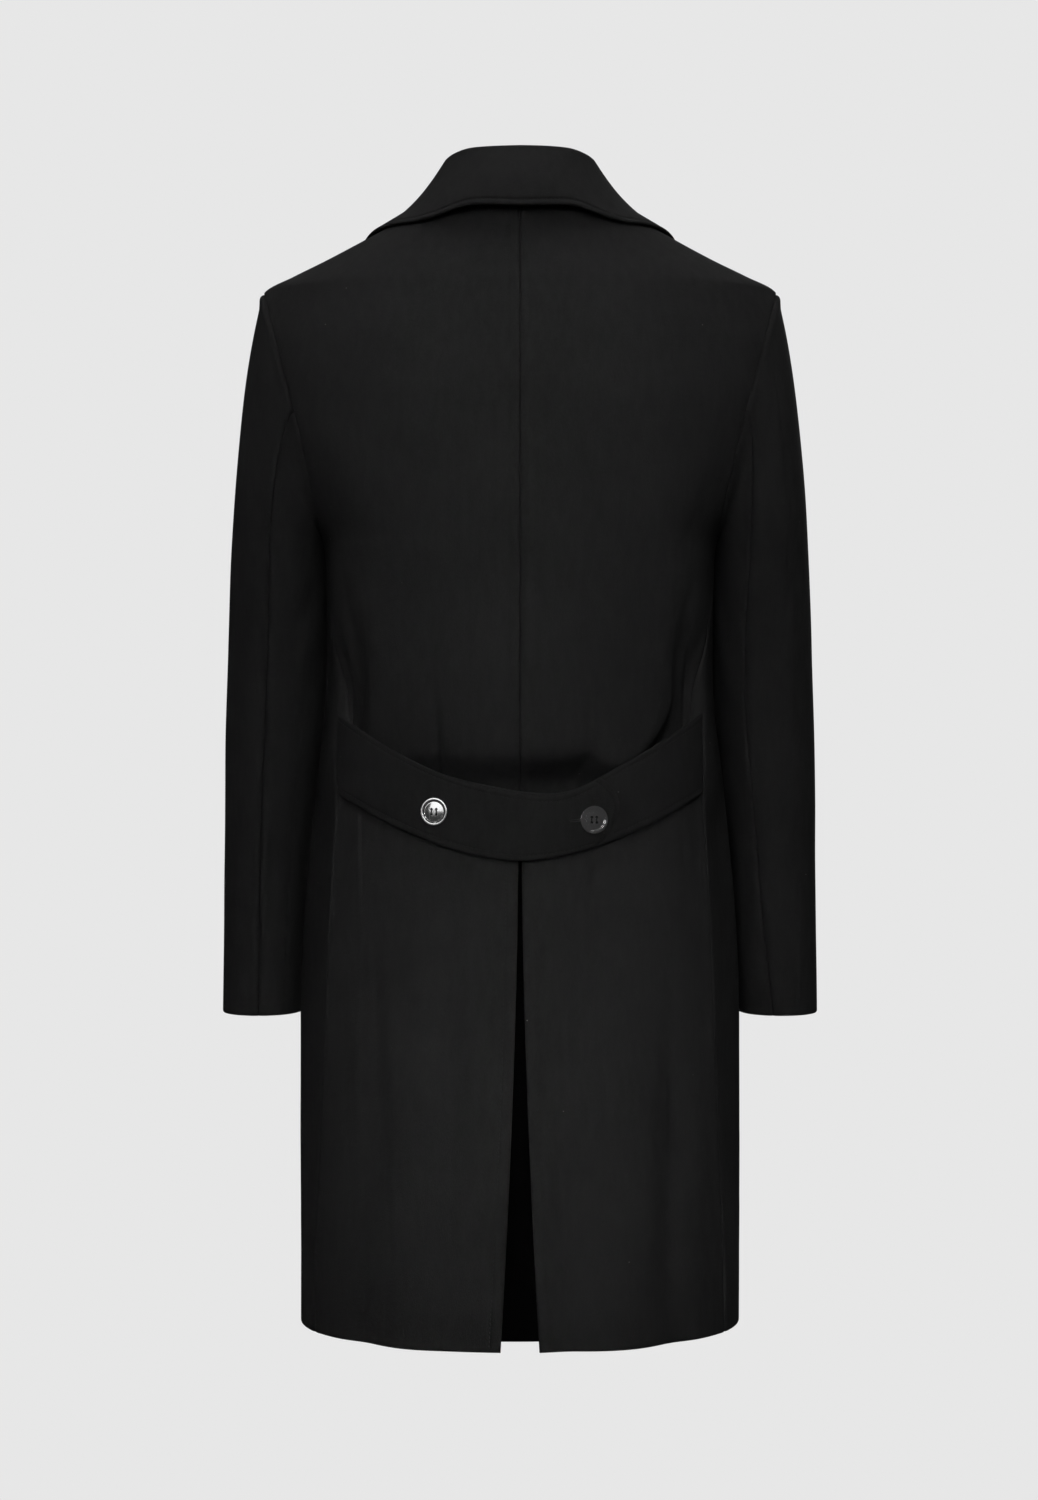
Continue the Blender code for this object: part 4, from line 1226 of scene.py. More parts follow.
@dataclass
class Collar(ClothPiece):
    """The collar leaf: from inside its fold, over it and down to its edge; columns run right to left."""

    called: str = "collar"
    stiffened: float | None = 1.0
    thickness: float = 3.4 * MM
    steps: Pair = (3.0 * MM, 1.7 * MM)
    edges: Edges = (Edge.STITCHED, Edge.STITCHED, Edge.FOLDED, Edge.STITCHED)
    line: Table = Table(
        ("along", "base_x", "base_y", "base_z", "fold_x", "fold_y", "fold_z", "edge_x", "edge_y", "edge_z",
         "bulge"),
        (
            (0.0, 0.0, 0.076, -0.002, 0.0, 0.066, 0.048, 0.0, 0.0945, -0.0078, 0.003),
            (0.14, 0.03, 0.0715, 0.0004, 0.0262, 0.0616, 0.0484, 0.042, 0.0905, -0.0064, 0.002),
            (0.28, 0.056, 0.059, 0.005, 0.05, 0.048, 0.049, 0.083, 0.078, -0.016, -0.001),
            (0.55, 0.078, 0.0, 0.012, 0.07, 0.002, 0.0455, 0.1385, 0.008, -0.0225, -0.0043),
            (0.78, 0.0605, -0.0605, -0.019, 0.0665, -0.053, 0.007, 0.152, -0.06, -0.045, -0.003),
            (1.0, 0.046, -0.0845, -0.054, 0.051, -0.093, -0.053, 0.16, -0.093, -0.096, 0.001),
        ),
    )
    roll: float = 6.2 * MM
    roll_share: float = 0.34
    roll_turn: Pair = (0.72, 0.45)
    ends_from: float = 0.75

    def at(self, name: str, along: Array) -> Array:
        """A named line of the collar, on the wearer's left."""
        return stack(*(self.line.read(f"{name}_{axis}", np.abs(along)) for axis in "xyz"))

    @staticmethod
    def mirrored(p: Array, along: Array) -> Array:
        """Puts points with a place along the collar below 0 on the wearer's right."""
        return p * stack(np.where(along < 0, -1.0, 1.0), 1.0, 1.0)

    def place(self, u: Array, v: Array) -> Array:
        """The outer face's points.

        Args:
            u: Places along the columns, from 0 to 1.
            v: Places along the rows, from 0 to 1.

        Returns:
            The points.
        """
        along = 2 * u - 1
        fold, edge = self.at("fold", along), self.at("edge", along)
        out = unit((edge - fold) * (1, 1, 0))
        ends = self.roll_turn[0] - self.roll_turn[1] * ease(self.ends_from, 1.0, np.abs(along))
        turned = np.clip(1 - v / self.roll_share, 0, 1) * np.pi * ends
        fall = np.clip((v - self.roll_share) / (1 - self.roll_share), 0, 1)[..., None]
        bulge = np.sin(np.pi * fall) * self.line.read("bulge", np.abs(along))[..., None]
        p = fold + (edge - fold) * fall + out * bulge + stack(0, 0, bulge[..., 0])
        start = unit(edge - fold)
        side = unit(np.cross(np.cross(start, out - start * (start * out).sum(-1, keepdims=True)), start))
        bent = start * -np.sin(turned)[..., None] - side * (1 - np.cos(turned))[..., None]
        p = self.mirrored(p + bent * self.roll, along)
        cleared = self.form.keep_clear(p, self.thickness + LIE_GAP)
        return np.where(v[..., None] > self.roll_share, cleared, p)


@dataclass
class CollarStand(ClothPiece):
    """The band inside the collar, from the neck seam to the collar's inner edge."""

    called: str = "collar_stand"
    stiffened: float | None = 1.0
    collar: Collar | None = None
    steps: Pair = (3.0 * MM, 2.4 * MM)
    stand_end: float = 0.86
    lip_step: float = 0.02
    bend: float = 0.45

    def place(self, u: Array, v: Array) -> Array:
        """The points of the face towards the neck.

        Args:
            u: Places along the columns, from 0 to 1.
            v: Places along the rows, from 0 to 1.

        Returns:
            The points.
        """
        along = (2 * u - 1) * self.stand_end
        share = (along + 1) / 2
        lip = self.collar.place(share, np.zeros_like(u))
        base = self.collar.mirrored(self.collar.at("base", along), along)
        run = unit(lip - self.collar.place(share, np.full_like(u, self.lip_step)))
        top = lip - run * SEAM_LAP
        bend = top + run * np.linalg.norm(top - base, axis=-1, keepdims=True) * self.bend
        t = v[..., None]
        return (1 - t) ** 2 * base + 2 * t * (1 - t) * bend + t * t * top


@dataclass
class SleevePiece(ClothPiece):
    """A top or under sleeve: columns run round the arm by armhole station, rows down to the cuff."""

    cut_as: SleeveCut = SleeveCut.TOP
    edges: Edges = (Edge.SEAM, Edge.SEAM, Edge.SEAM, Edge.FOLDED)
    steps: Pair = (3.0 * MM, 5.5 * MM)
    rings: Table = Table(
        ("height", "centre_x", "centre_y", "half_width", "half_depth"),
        (
            (-0.736, 0.2385, -0.036, 0.0378, 0.058), (-0.6, 0.234, -0.03, 0.04, 0.063),
            (-0.535, 0.2308, -0.026, 0.0425, 0.0665), (-0.465, 0.2266, -0.023, 0.0456, 0.0705),
            (-0.4, 0.2238, -0.02, 0.0461, 0.074), (-0.335, 0.2226, -0.012, 0.0445, 0.077),
        ),
    )
    seams: Table = Table(
        ("height", "left_back", "right_back", "front"),
        (
            (-0.734, 90.0, 102.0, 236.0), (-0.6, 87.0, 116.0, 238.0), (-0.465, 85.0, 119.0, 240.0),
            (-0.335, 86.0, 112.0, 240.0),
        ),
    )
    station_width: float = 14.0 * MM
    cap_share: float = 0.36
    cap_leave: float = 0.010
    cap_settle: float = 0.68
    head_roll: float = 2.2 * MM
    head_at: Pair = (0.030, 0.030)
    head_stations: float = 4.0
    crease_from: float = 0.12
    cross_waves: float = 0.5
    near: float = 0.05
    off_middle: float = 1e-6
    below_bicep: float = 0.02
    # Each crease runs from a station and a height to another station and height.
    creases: tuple[Crease, ...] = creased(
        (17.0, -0.44, 22.5, -0.475, 0.55, -2.2, 0.5), (17.0, -0.5, 22.0, -0.492, 0.55, -1.8, -0.4),
        (16.5, -0.545, 22.0, -0.52, 0.6, -1.5, -0.4), (2.0, -0.33, 5.8, -0.42, 0.8, -2.0, 0.5),
        (1.5, -0.39, 5.0, -0.5, 0.8, -1.3, 0.4), (9.0, -0.3, 9.6, -0.56, 1.0, -1.1),
        (7.5, -0.52, 8.2, -0.7, 0.9, 0.9), (14.5, -0.25, 16.0, -0.42, 0.9, -1.4),
        (21.6, -0.35, 21.6, -0.67, 1.1, 4.8), (0.9, -0.555, 0.9, -0.79, 1.5, -2.1),
    )
    stations_a_metre: float = 100.0

    @property
    def node(self) -> str:
        """The solid that this piece stands for."""
        return f"{self.cut_as.name.lower()}_sleeve_{self.side.word}"

    def armhole(self, k: Array) -> Array:
        """The armhole by station: 0 at the underarm, up the back to the shoulder, and down the front.

        Args:
            k: Stations.

        Returns:
            Their points, on the wearer's left.
        """
        form, top = self.form, self.form.arm_stations
        up = form.armhole_share(np.where(k > top, 2 * top - k, k))
        z = form.underarm + (form.shoulder - form.underarm) * up
        x = form.armhole_x(z)
        y = np.where(k > top, form.depth_at(x, z, -1), form.depth_at(x, z, 1))
        return stack(x, np.where((up < TINY) | (up > 1 - TINY), 0, y), z)

    def leaving(self, k: Array) -> Array:
        """The way that the cloth runs off the armhole's edge into the sleeve.

        Args:
            k: Stations.

        Returns:
            A direction of length 1 at each.
        """
        form, last = self.form, 2 * self.form.arm_stations
        p = self.armhole(k)
        y = np.where(np.abs(p[..., 1]) < self.off_middle, self.off_middle, p[..., 1])
        beside = stack(p[..., 0], y, p[..., 2])
        edge = self.armhole(np.minimum(k + self.near, last)) - self.armhole(np.maximum(k - self.near, 0))
        leave = unit(np.cross(edge, form.slope(beside)))
        height = (form.underarm + form.shoulder) / 2
        middle = np.array((form.armhole_x(height), 0, height))
        return leave * np.sign(((middle - p) * leave).sum(-1, keepdims=True))

    def ring(self, k: Array, z: Array) -> Array:
        """A point on the sleeve's ring at a height, where the two sleeve seams keep their places.

        Args:
            k: Stations.
            z: Heights.

        Returns:
            The points, on the wearer's left.
        """
        top = self.form.arm_stations
        back = self.seams.read(f"{self.side.word}_back", z)
        front = self.seams.read("front", z)
        half = np.full_like(back, 180.0)
        turns = (half, back, 0 * half, front - 360, -half)
        marks = (0, SleeveCut.TOP.value[0], top, SleeveCut.TOP.value[1], 2 * top)
        angle = np.zeros(np.broadcast(k, z).shape)
        for i, (low, high) in enumerate(zip(marks, marks[1:])):
            share = (k - low) / (high - low)
            angle = np.where((k >= low) & (k <= high), turns[i] + (turns[i + 1] - turns[i]) * share, angle)
        size = {name: self.rings.read(name, z) for name in self.rings.columns[1:]}
        x = size["centre_x"] + size["half_width"] * np.cos(np.radians(angle))
        return stack(x, size["centre_y"] + size["half_depth"] * np.sin(np.radians(angle)), z)

    def station(self, u: Array) -> Array:
        """The armhole station of a column, from one sleeve seam to the other.

        Args:
            u: Places along the columns, from 0 to 1.

        Returns:
            The stations.
        """
        first, last = self.cut_as.value
        lap = SEAM_LAP / self.station_width
        return np.mod(first - lap + (last - first + 2 * lap) * u, 2 * self.form.arm_stations)

    def place(self, u: Array, v: Array) -> Array:
        """The outer face's points.

        Args:
            u: Places along the columns, from 0 to 1.
            v: Places along the rows, from 0 to 1.

        Returns:
            The points.
        """
        k, cuff, bicep_z = self.station(u), self.rings.rows[0][0], self.rings.rows[-1][0]
        leave = self.leaving(k)
        start = self.armhole(k) - leave * SEAM_LAP
        bicep = self.ring(k, np.full_like(v, bicep_z))
        below = self.ring(k, np.full_like(v, bicep_z - self.below_bicep))
        drop = np.abs(start[..., 2] - bicep_z)[..., None]
        first = start + leave * self.cap_leave
        last = bicep + unit(bicep - below) * (drop * self.cap_settle)
        t = np.clip(v / self.cap_share, 0, 1)[..., None]
        left = 1 - t
        cap = left ** 3 * start + 3 * t * left ** 2 * first + 3 * t * t * left * last + t ** 3 * bicep
        down = np.clip((v - self.cap_share) / (1 - self.cap_share), 0, 1)
        tube = self.ring(k, bicep_z + (cuff - bicep_z) * down)
        return np.where((v > self.cap_share)[..., None], tube, cap) * (self.side.value, 1, 1)

    def relief(self, p: Array, u: Array, v: Array) -> Array:
        """The sleeve's creases, by armhole station and height.

        Args:
            p: Points of the piece.
            u: Their places along the columns.
            v: Their places along the rows.

        Returns:
            How far out each point stands.
        """
        k, total = self.station(u), uneven(p * (self.side.value, 1, 1))
        total = total + self.cross_waves * uneven(p[..., ::-1])
        for crease in self.creases:
            total = total + crease.height(k, p[..., 2], self.stations_a_metre)
        down, width = self.head_at
        beside = (k - self.form.arm_stations) / self.head_stations
        head = np.exp(-(((v - down) / width) ** 2) - beside ** 2)
        return self.head_roll * head + total * ease(0.0, self.crease_from, v)


@dataclass
class HalfBelt(ClothPiece):
    """One end of the half belt: columns run from the side seam to its shaped tip, rows from its top edge."""

    called: str = "half_belt_{side}"
    facing: int = -1
    stiffened: float | None = 0.3
    thickness: float = 3.0 * MM
    steps: Pair = (2.6 * MM, 2.4 * MM)
    edges: Edges = (Edge.FOLDED, Edge.BELT, Edge.BELT, Edge.BELT)
    depth: float = 0.140
    lap: float = 4.84 * MM
    tucked: float = 1.8 * MM
    squareness: float = 2.3
    left_tip: float = -0.088
    right_tip: float = 0.072
    tip_length: float = 0.018
    tip_at: float = 0.55
    tip_bow: float = 1.6
    under_tip: float = 0.3
    lap_run: Pair = (0.012, 0.045)
    end_sunk: float = 0.6
    peep: float = 2.6 * MM
    peep_run: Pair = (0.020, 0.075)

    def over(self, x: Array) -> Array:
        """How much further out the left end lies where it passes over the right one."""
        return self.lap * (1 - ease(*(self.right_tip + run for run in self.lap_run), x))

    def spot(self, x: Array, drop: Array, out: Array) -> Array:
        """A point on the belt's outer face, by its x and its drop from the belt's middle line.

        Args:
            x: Where the points lie across the back.
            drop: How far below the line they are.
            out: How much further out this end lies there.

        Returns:
            The points.
        """
        end_x = self.form.belt_end[0]
        z = self.form.belt_height(x) - drop
        sunk = self.end_sunk * self.form.bloused(np.sign(x) * end_x, z)
        end_y = self.form.depth_at(np.array(end_x), z, 1) + sunk + self.thickness + 2 * LIE_GAP
        bow = 1 / self.squareness
        reach = end_x / (1 - (end_y / self.depth) ** self.squareness) ** bow
        y = (self.depth + out) * (1 - np.clip(np.abs(x) / reach, 0, 1) ** self.squareness) ** bow
        low = np.clip(drop / self.form.belt_reach(x), 0, 1) ** 2
        return stack(x, y - self.tucked * low * out / self.lap, z)

    def face(self, x: Array, z: Array) -> Array:
        """The outer face at x and z, on whichever end lies on top there."""
        return self.spot(x, self.form.belt_height(x) - z, self.over(x))

    def place(self, u: Array, v: Array) -> Array:
        """The outer face's points.

        Args:
            u: Places along the columns, from 0 to 1.
            v: Places along the rows, from 0 to 1.

        Returns:
            The points.
        """
        left, at = self.side is Side.LEFT, self.tip_at
        tip = self.left_tip if left else -self.right_tip
        shape = np.where(v < at, (at - v) / at, (v - at) / (1 - at)) ** self.tip_bow
        end = tip + self.tip_length * shape * (1 if left else self.under_tip)
        x = self.side.value * (self.form.belt_end[0] + (end - self.form.belt_end[0]) * u)
        peep = 0.0 if left else self.peep * (1 - ease(*self.peep_run, np.abs(x)))
        drop = self.form.belt_reach(x) * (2 * v - 1) - peep
        return self.spot(x, drop, self.over(x) if left else 0.0)


def thread_bars(name: str, starts: Array, ends: Array, up: Array, radius: float,
                thread: Material) -> Object:
    """Makes short stitches of thread that dip into the cloth at both ends.

    Args:
        name: The piece's name.
        starts: Where each stitch goes in.
        ends: Where each stitch comes out.
        up: The cloth's normal at each stitch.
        radius: The thread's radius.
        thread: The thread's material.

    Returns:
        All the stitches, as one piece.
    """
    sides, rings = 5, ((0.0, -0.9, 0.7), (0.22, 0.35, 1.0), (0.78, 0.35, 1.0), (1.0, -0.9, 0.7))
    along = unit(ends - starts)
    side = unit(np.cross(up, along))
    turns = np.linspace(0, 2 * np.pi, sides, endpoint=False)
    loops = []
    for share, height, size in rings:
        middle = starts + (ends - starts) * share + up * (radius * height)
        ring = [middle + (side * np.cos(a) + up * np.sin(a)) * (radius * size) for a in turns]
        loops.append(np.stack(ring, axis=1))
    points = np.stack(loops, axis=1)
    each = len(rings) * sides
    faces = [tuple(range(sides)), tuple(range(each - 1, each - 1 - sides, -1))]
    for r in range(len(rings) - 1):
        for s in range(sides):
            a, b = r * sides + s, r * sides + (s + 1) % sides
            faces.append((b, a, a + sides, b + sides))
    every = [tuple(each * i + n for n in face) for i in range(len(starts)) for face in faces]
    made = mesh_object(name, points, every, thread)
    log.info("%s: %d stitches", name, len(starts))
    return made


@dataclass(frozen=True)
class Sewing:
    """Rows of topstitching, in thread that shows as a fine broken line."""

    stitch: float = 3.0 * MM
    pitch: float = 3.9 * MM
    radius: float = 0.27 * MM
    lead: float = 0.4

    def row(self, name: str, lines: Iterable[tuple[Array, Array]], thread: Material) -> None:
        """Sews along lines on the cloth.

        Args:
            name: The piece's name.
            lines: For each row, its points and the cloth's normals.
            thread: The thread's material.
        """
        starts, ends, up = [], [], []
        for line, facing in lines:
            run = run_lengths(line, 0)
            at = np.arange(self.lead * self.pitch, run[-1] - self.pitch, self.pitch)

            def read(where: Array, values: Array) -> Array:
                """Values along the row at some distances."""
                return np.stack([np.interp(where, run, values[:, i]) for i in range(3)], axis=-1)

            starts.append(read(at, line))
            ends.append(read(at + self.stitch, line))
            up.append(unit(read(at + self.stitch / 2, facing)))
        thread_bars(name, *(np.concatenate(part) for part in (starts, ends, up)), self.radius, thread)


@dataclass(frozen=True)
class Buttonhole:
    """A worked buttonhole: a long ring of close thread on the cloth, pinched to a slit."""

    half_width: float = 0.85 * MM
    cord: float = 0.75 * MM
    wraps: int = 64
    sides: int = 6
    tube: float = 0.4
    waver: float = 0.10
    flat: float = 0.55
    lift: float = 0.25 * MM
    stretch: float = 0.62
    end_from: float = 0.8

    def build(self, name: str, face: Face, inner: Pair, outer: Pair, thread: Material) -> None:
        """Works the hole on a face of cloth.

        Args:
            name: The piece's name.
            face: Gives the cloth's outer point at x and z.
            inner: The hole's one end, in x and z.
            outer: The hole's other end, in x and z.
            thread: The thread's material.
        """
        bpy.ops.object.select_all(action="DESELECT")
        bpy.ops.mesh.primitive_torus_add(major_segments=2 * self.wraps, minor_segments=self.sides,
                                         major_radius=1.0, minor_radius=self.tube)
        made = bpy.context.object
        made.name = made.data.name = name
        a, b = np.array(inner), np.array(outer)
        way = (b - a) / np.hypot(*(b - a))
        for number, vert in enumerate(made.data.vertices):
            turn = math.atan2(vert.co.y, vert.co.x)
            out = (math.hypot(vert.co.x, vert.co.y) - 1.0) / self.tube * self.cord
            wrap = 1.0 + self.waver * (-1) ** (number // self.sides)
            straight = np.clip(math.cos(turn) * self.stretch + 0.5, 0, 1)
            spread = (self.half_width + out * wrap) * math.sin(turn)
            past = max(abs(math.cos(turn)) - self.end_from, 0) / (1 - self.end_from)
            past = math.copysign(past, math.cos(turn)) * out
            x, z = a + (b - a) * straight + way * past + np.array((-way[1], way[0])) * spread
            p = face(np.array(x), np.array(z))
            dx = face(np.array(x + MM), np.array(z)) - p
            dz = face(np.array(x), np.array(z + MM)) - p
            normal = unit(np.cross(dx, dz))
            normal = normal * np.sign(normal[1] * p[1])
            vert.co = Vector(p + normal * (vert.co.z / self.tube * self.flat * self.cord * wrap + self.lift))
        made.data.materials.append(thread)
        bpy.ops.object.shade_smooth()
        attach(made, "root")
        log.info("%s: buttonhole", name)


@dataclass(frozen=True)
class Buttons:
    """Four-hole buttons, turned with a raised rim round a sunk, slightly domed middle, and sewn on.

    The profile's rows go inwards from the rim: an inset in millimetres, and a drop as a share of the dish.
    """

    radius: float = 12.5 * MM
    thick: float = 4.2 * MM
    dish: float = 1.6 * MM
    foot: float = 0.8
    profile: tuple[Pair, ...] = (
        (2.7, 0.0), (0.5, 0.66), (0.6, 0.05), (0.7, -0.07), (1.7, -0.13), (1.9, -0.09), (1.8, -0.04),
    )
    hole: float = 1.15 * MM
    hole_out: float = 3.1 * MM
    hole_sides: int = 16
    clear: float = 0.3 * MM
    sides: int = 64
    bevel: float = 0.55 * MM
    sharp: float = 28.0
    smooth: float = 35.0
    thread_radius: float = 0.28 * MM
    thread_apart: float = 0.4 * MM
    thread_sunk: float = 0.45
    thread_lift: float = 0.25 * MM

    @staticmethod
    def pick(made: Object, up: int) -> None:
        """Selects a disc's top, or its bottom where up is -1, for editing.

        Args:
            made: The disc.
            up: 1 for its top and -1 for its bottom.
        """
        bpy.ops.object.mode_set(mode="EDIT")
        bpy.ops.mesh.select_mode(type="FACE")
        bpy.ops.mesh.select_all(action="DESELECT")
        bpy.ops.object.mode_set(mode="OBJECT")
        for face in made.data.polygons:
            face.select = up * face.normal.z > 0.9
        bpy.ops.object.mode_set(mode="EDIT")

    def blank(self) -> Object:
        """Turns the button: a disc whose top is inset into a rim and a dish, with its edges rounded.

        Returns:
            The button without holes, its back at z = 0.
        """
        bpy.ops.object.select_all(action="DESELECT")
        bpy.ops.mesh.primitive_cylinder_add(vertices=self.sides, radius=self.radius, depth=self.thick,
                                            location=(0, 0, self.thick / 2))
        made = bpy.context.object
        bpy.ops.object.transform_apply(location=True, rotation=True, scale=True)
        self.pick(made, -1)
        bpy.ops.transform.resize(value=(self.foot, self.foot, 1))
        self.pick(made, 1)
        for inset, drop in self.profile:
            bpy.ops.mesh.inset(thickness=inset * MM)
            bpy.ops.transform.translate(value=(0, 0, -drop * self.dish))
        bpy.ops.object.mode_set(mode="OBJECT")
        rounded = made.modifiers.new("rounded", "BEVEL")
        rounded.width = self.bevel
        rounded.segments = 3
        rounded.limit_method = "ANGLE"
        rounded.angle_limit = math.radians(self.sharp)
        bpy.ops.object.modifier_apply(modifier=rounded.name)
        return made

    def drill(self, blank: Object) -> None:
        """Drills the four thread holes.

        Args:
            blank: The button without holes.
        """
        bits = []
        for i in range(4):
            turn = math.pi / 4 + i * math.pi / 2
            spot = (self.hole_out * math.cos(turn), self.hole_out * math.sin(turn), self.thick / 2)
            bpy.ops.object.select_all(action="DESELECT")
            bpy.ops.mesh.primitive_cylinder_add(vertices=self.hole_sides, radius=self.hole,
                                                depth=3 * self.thick, location=spot)
            bits.append(bpy.context.object)
        bpy.ops.object.select_all(action="DESELECT")
        for bit in bits:
            bit.select_set(True)
        bpy.context.view_layer.objects.active = bits[0]
        bpy.ops.object.join()
        drilled = blank.modifiers.new("drilled", "BOOLEAN")
        drilled.object = bits[0]
        drilled.solver = "EXACT"
        bpy.ops.object.select_all(action="DESELECT")
        blank.select_set(True)
        bpy.context.view_layer.objects.active = blank
        bpy.ops.object.modifier_apply(modifier=drilled.name)
        bpy.data.objects.remove(bits[0])
        bpy.ops.object.shade_smooth_by_angle(angle=math.radians(self.smooth))

    def seat(self, node: str) -> Matrix:
        """Finds where a button's solid lies: its back's middle, with +Z out of the cloth and +Y up.

        Args:
            node: The button's solid.

        Returns:
            The button's place.
        """
        p = np.array([v.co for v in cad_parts[node].data.vertices])
        middle = (p.min(0) + p.max(0)) / 2
        out = np.linalg.svd(p - p.mean(0), full_matrices=False)[2][2]
        out = out * np.sign(out[1] * middle[1])
        back = p.mean(0) + out * ((p - p.mean(0)) @ out).min()
        across = unit(np.cross((0, 0, 1), out))
        turned = np.stack((across, np.cross(out, across), out), axis=1)
        return Matrix.Translation(Vector(back + out * self.clear)) @ Matrix(turned.tolist()).to_4x4()

    def build(self, nodes: Sequence[str], horn: Material, thread: Material) -> None:
        """Makes every button and sews it on.

        Args:
            nodes: The buttons' solids.
            horn: The buttons' material.
            thread: The thread's material.
        """
        blank = self.blank()
        self.drill(blank)
        starts, ends, up = [], [], []
        height = self.thick - self.thread_sunk * self.dish + self.thread_lift
        arm, half = self.hole_out * math.cos(math.pi / 4), self.thread_apart / 2
        for node in nodes:
            seat = self.seat(node)
            mesh = blank.data.copy()
            mesh.name = f"{node}_horn"
            mesh.transform(seat)
            mesh.materials.append(horn)
            made = on_coat(mesh)
            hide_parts(node)
            for x in (-arm - half, -arm + half, arm - half, arm + half):
                starts.append(seat @ Vector((x, -arm, height)))
                ends.append(seat @ Vector((x, arm, height)))
                up.append(seat.to_3x3() @ Vector((0, 0, 1)))
            log.info("%s_horn: %d faces", node, len(mesh.polygons))
        bpy.data.objects.remove(blank)
        thread_bars("button_thread", *map(np.array, (starts, ends, up)), self.thread_radius, thread)


@dataclass(frozen=True)
class Softbox:
    """A large soft light: where it stands, what it faces, its size and its power."""

    name: str
    spot: Triple
    faces: Triple
    size: Pair
    watts: float
    spread: float = 180.0
    only_gloss: bool = False

    def build(self) -> None:
        """Sets the light up."""
        lamp = bpy.data.lights.new(self.name, "AREA")
        lamp.shape = "RECTANGLE"
        lamp.size, lamp.size_y = self.size
        lamp.energy = self.watts
        lamp.spread = math.radians(self.spread)
        made = bpy.data.objects.new(self.name, lamp)
        made.location = self.spot
        way = Vector(self.faces) - Vector(self.spot)
        made.rotation_euler = way.to_track_quat("-Z", "Y").to_euler()
        made.visible_diffuse = not self.only_gloss
        bpy.context.scene.collection.objects.link(made)


@dataclass(frozen=True)
class Studio:
    """A pale seamless room: a floor below the coat, even grey behind it, soft light and the camera."""

    grey: str = "#E7E7E7"
    floor_height: float = -1.32
    floor_size: float = 30.0
    fill: float = 0.045
    gloss: float = 0.32
    camera_spot: Triple = (0.00092, 2.85, -0.493)
    sensor_mm: float = 36.0
    frame_height: float = 1.38
    boxes: tuple[Softbox, ...] = (
        Softbox("key_softbox", (0.0, 2.19, 1.88), (0.0, 0.05, -0.5), (2.0, 2.0), 14.0),
        Softbox("left_softbox", (1.30, 0.05, 2.42), (0.0, 0.05, -0.5), (0.9, 0.9), 36.0),
        Softbox("right_softbox", (-1.30, 0.05, 2.42), (0.0, 0.05, -0.5), (0.9, 0.9), 36.0),
        Softbox("shoulder_spot", (0.05, 3.3, 0.7), (0.0, 0.12, -0.28), (0.5, 0.5), 0.77, 16.0),
        Softbox("skirt_spot", (0.0, 3.3, -0.4), (0.0, 0.13, -0.85), (0.5, 0.5), 0.63, 12.0),
        Softbox("gloss_card", (1.23, 2.41, -0.10), (0.074, 0.14, -0.55), (1.0, 0.9), 36.0, only_gloss=True),
        Softbox("front_softbox", (-0.8, -3.2, 0.6), (0.0, 0.0, -0.45), (1.8, 1.4), 45.0),
    )

    def floor(self) -> None:
        """Lays the pale floor."""
        bpy.ops.object.select_all(action="DESELECT")
        bpy.ops.mesh.primitive_plane_add(size=self.floor_size, location=(0, 0, self.floor_height))
        made = bpy.context.object
        made.name = "studio_floor"
        paper, tree, shader = new_material("pale_paper_floor")
        feed(tree, shader, {"Base Color": linear("#000000"), "Specular IOR Level": 0.0,
                            "Emission Color": linear(self.grey), "Emission Strength": 1.0})
        made.data.materials.append(paper)
        made.visible_diffuse = made.visible_glossy = made.visible_shadow = False

    def room(self) -> None:
        """Makes the even grey that shows behind the coat, and the weaker light that it gives."""
        world = bpy.data.worlds.new("studio")
        bpy.context.scene.world = world
        world.use_nodes = True
        tree = world.node_tree
        tree.nodes.clear()
        ray = add(tree, "ShaderNodeLightPath").outputs
        seen = add(tree, "ShaderNodeMapRange", {"Value": ray["Is Camera Ray"], "To Min": self.fill,
                                                "To Max": 1.0}).outputs[0]
        strength = maths(tree, "MULTIPLY_ADD", ray["Is Glossy Ray"], self.gloss, seen)
        sky = add(tree, "ShaderNodeBackground", {"Color": linear(self.grey), "Strength": strength})
        add(tree, "ShaderNodeOutputWorld", {"Surface": sky.outputs[0]})

    def camera(self) -> None:
        """Puts the camera where the photograph was taken from."""
        lens = bpy.data.cameras.new("camera")
        lens.sensor_width = self.sensor_mm
        lens.lens = self.sensor_mm * self.camera_spot[1] / self.frame_height
        made = bpy.data.objects.new("camera", lens)
        made.location = self.camera_spot
        made.rotation_euler = (math.radians(90), 0, math.radians(180))
        bpy.context.scene.collection.objects.link(made)
        bpy.context.scene.camera = made
        bpy.context.scene.view_settings.view_transform = "Standard"

    def build(self) -> None:
        """Sets up the whole room."""
        self.floor()
        self.room()
        for box in self.boxes:
            box.build()
        self.camera()


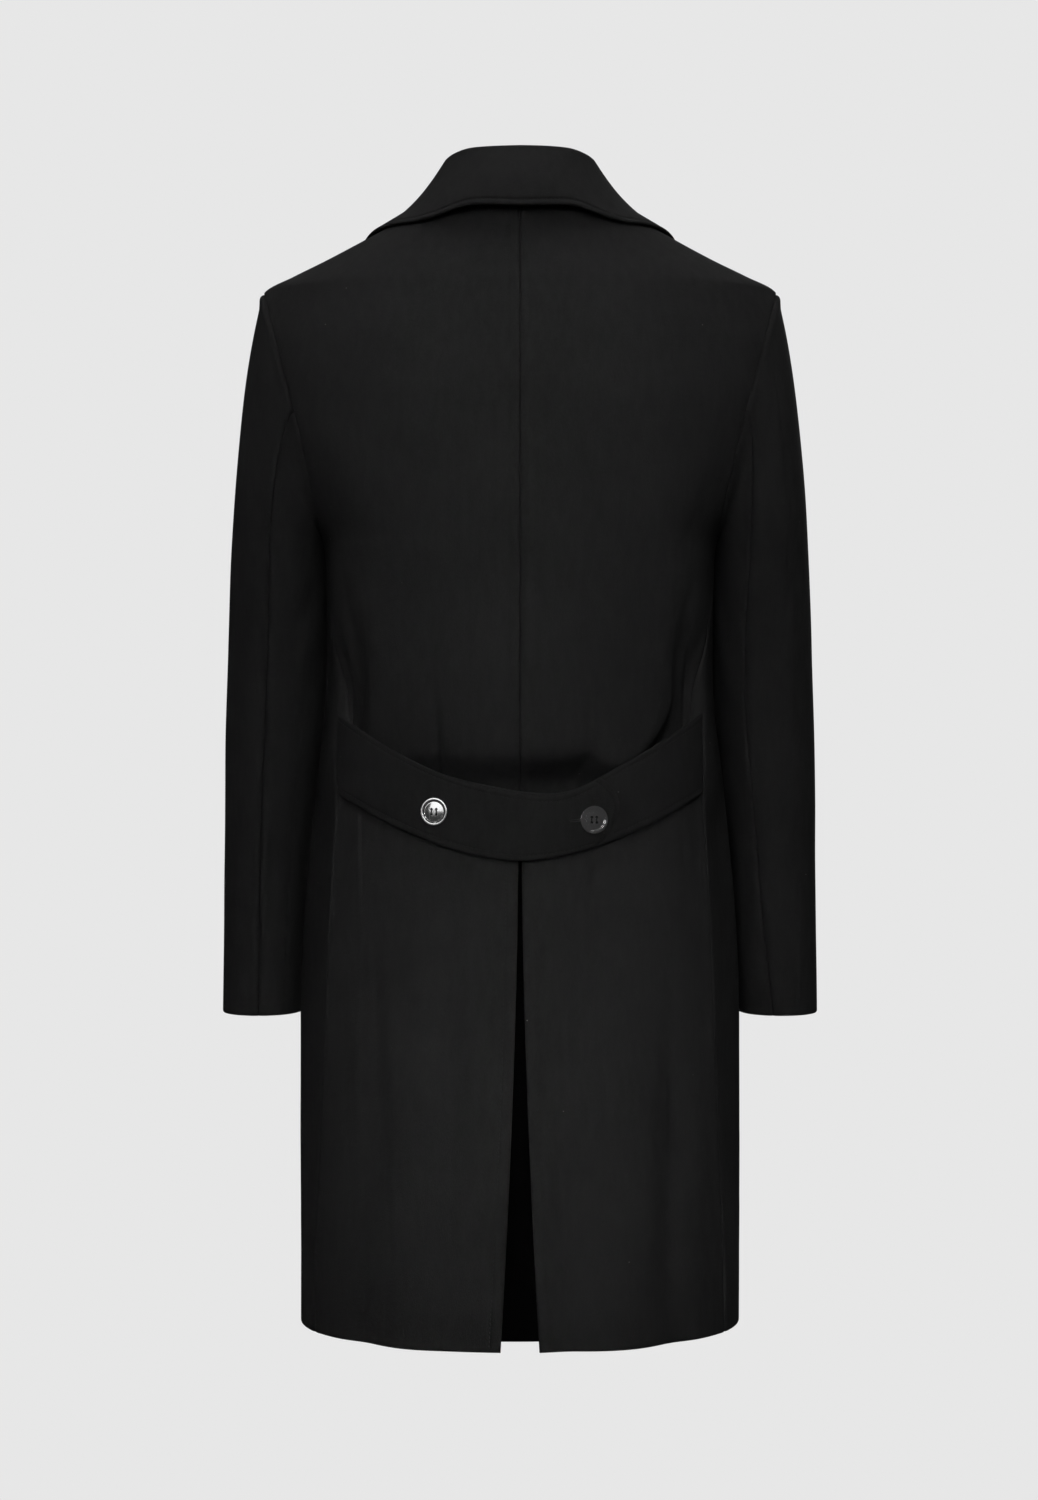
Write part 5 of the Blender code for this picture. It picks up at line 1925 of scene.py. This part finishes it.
@dataclass
class Overcoat:
    """The whole coat: its cloth, its sewing and its buttons."""

    form: CoatForm
    sewing: Sewing = Sewing()
    hole: Buttonhole = Buttonhole()
    belt_hole: tuple[Pair, Pair] = ((-0.0435, -0.5555), (-0.0670, -0.5535))
    front_hole: Pair = (-0.0400, -0.0640)
    front_rows: Triple = (-0.375, -0.490, -0.605)
    # Where rows of stitches start and stop, as shares of their edge.
    collar_run: Pair = (0.01, 0.99)
    belt_run: Pair = (0.0, 0.965)
    belt_tip_run: Pair = (0.08, 0.92)
    hem_end: float = 0.002
    pleat_end: float = 0.005

    def build(self) -> None:
        """Builds and dresses every piece."""
        wool, horn, thread = Wool().material(), Horn().material(), Thread().material()
        # The half belt wears a darker copy of the same melton: painted shade over the whole belt.
        belt_shade_wool = Wool("black_melton_wool_pressed", "#161616", "#242424", "#505050").material()
        # The pleat's underlay wears a near-black copy of the melton: painted shade inside the pleat.
        pleat_shade_wool = Wool("black_melton_wool_unworn", "#020202", "#040404", "#080808").material()
        form, both = self.form, ("back_left_wool", "back_right_wool")
        stitched, fold, belted = (e.value.pinch_at for e in (Edge.STITCHED, Edge.PLEAT_FOLD, Edge.BELT))
        rows = {"collar": [], "pleat": [], "front": [], "belt": []}
        collar = Collar(form, rests_on=("collar_stand_wool",))
        CollarStand(form, collar=collar, rests_on=both).build(wool)
        rows["collar"].append(collar.build(wool).line(3, stitched, *self.collar_run))
        for side in Side:
            on_back = (f"back_{side.word}_wool",)
            back = BackPanel(form, side, rests_on=("collar_stand_wool",))
            opened = (back.pleat_top - form.hem) / (form.neck_back - form.hem)
            rows["pleat"].append(back.build(wool).line(0, fold, self.hem_end, opened - self.pleat_end))
            front = FrontPanel(form, side, rests_on=on_back)
            closed = (front.lapel_break - form.hem) / (form.neck_point - form.hem)
            rows["front"].append(front.build(wool).line(1, stitched, self.hem_end, closed))
            lapel = Lapel(form, side, front=front, rests_on=(f"front_{side.word}_wool",))
            rows["front"].append(lapel.build(wool).line(1, stitched))
            for cut_as in SleeveCut:
                SleevePiece(form, side, cut_as=cut_as, rests_on=on_back).build(wool)
            belt = HalfBelt(form, side, rests_on=on_back)
            # The belt's wool is the darker copy, painted shade.
            wall = belt.build(belt_shade_wool)
            rows["belt"] += [wall.line(edge, belted, *self.belt_run) for edge in (2, 3)]
            rows["belt"].append(wall.line(1, belted, *self.belt_tip_run))
            if side is Side.LEFT:
                top_belt, top_front = belt, front
        # The underlay's wool is the near-black copy, painted shade.
        Pleat(form, back=back, rests_on=both).build(pleat_shade_wool)
        for part, lines in rows.items():
            self.sewing.row(f"{part}_topstitching", lines, thread)
        self.hole.build("belt_buttonhole", top_belt.face, *self.belt_hole, thread)
        for row, z in enumerate(self.front_rows, 1):
            ends = [(x, z) for x in self.front_hole]
            self.hole.build(f"front_buttonhole_{row}", top_front.spot, *ends, thread)
        Buttons().build([n for n in sorted(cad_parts) if "_button_" in n], horn, thread)


def main() -> None:
    """Builds the coat and its studio."""
    logging.basicConfig(level=logging.INFO, format="%(message)s")
    Overcoat(CoatForm()).build()
    Studio().build()


if __name__ == "__main__":
    main()
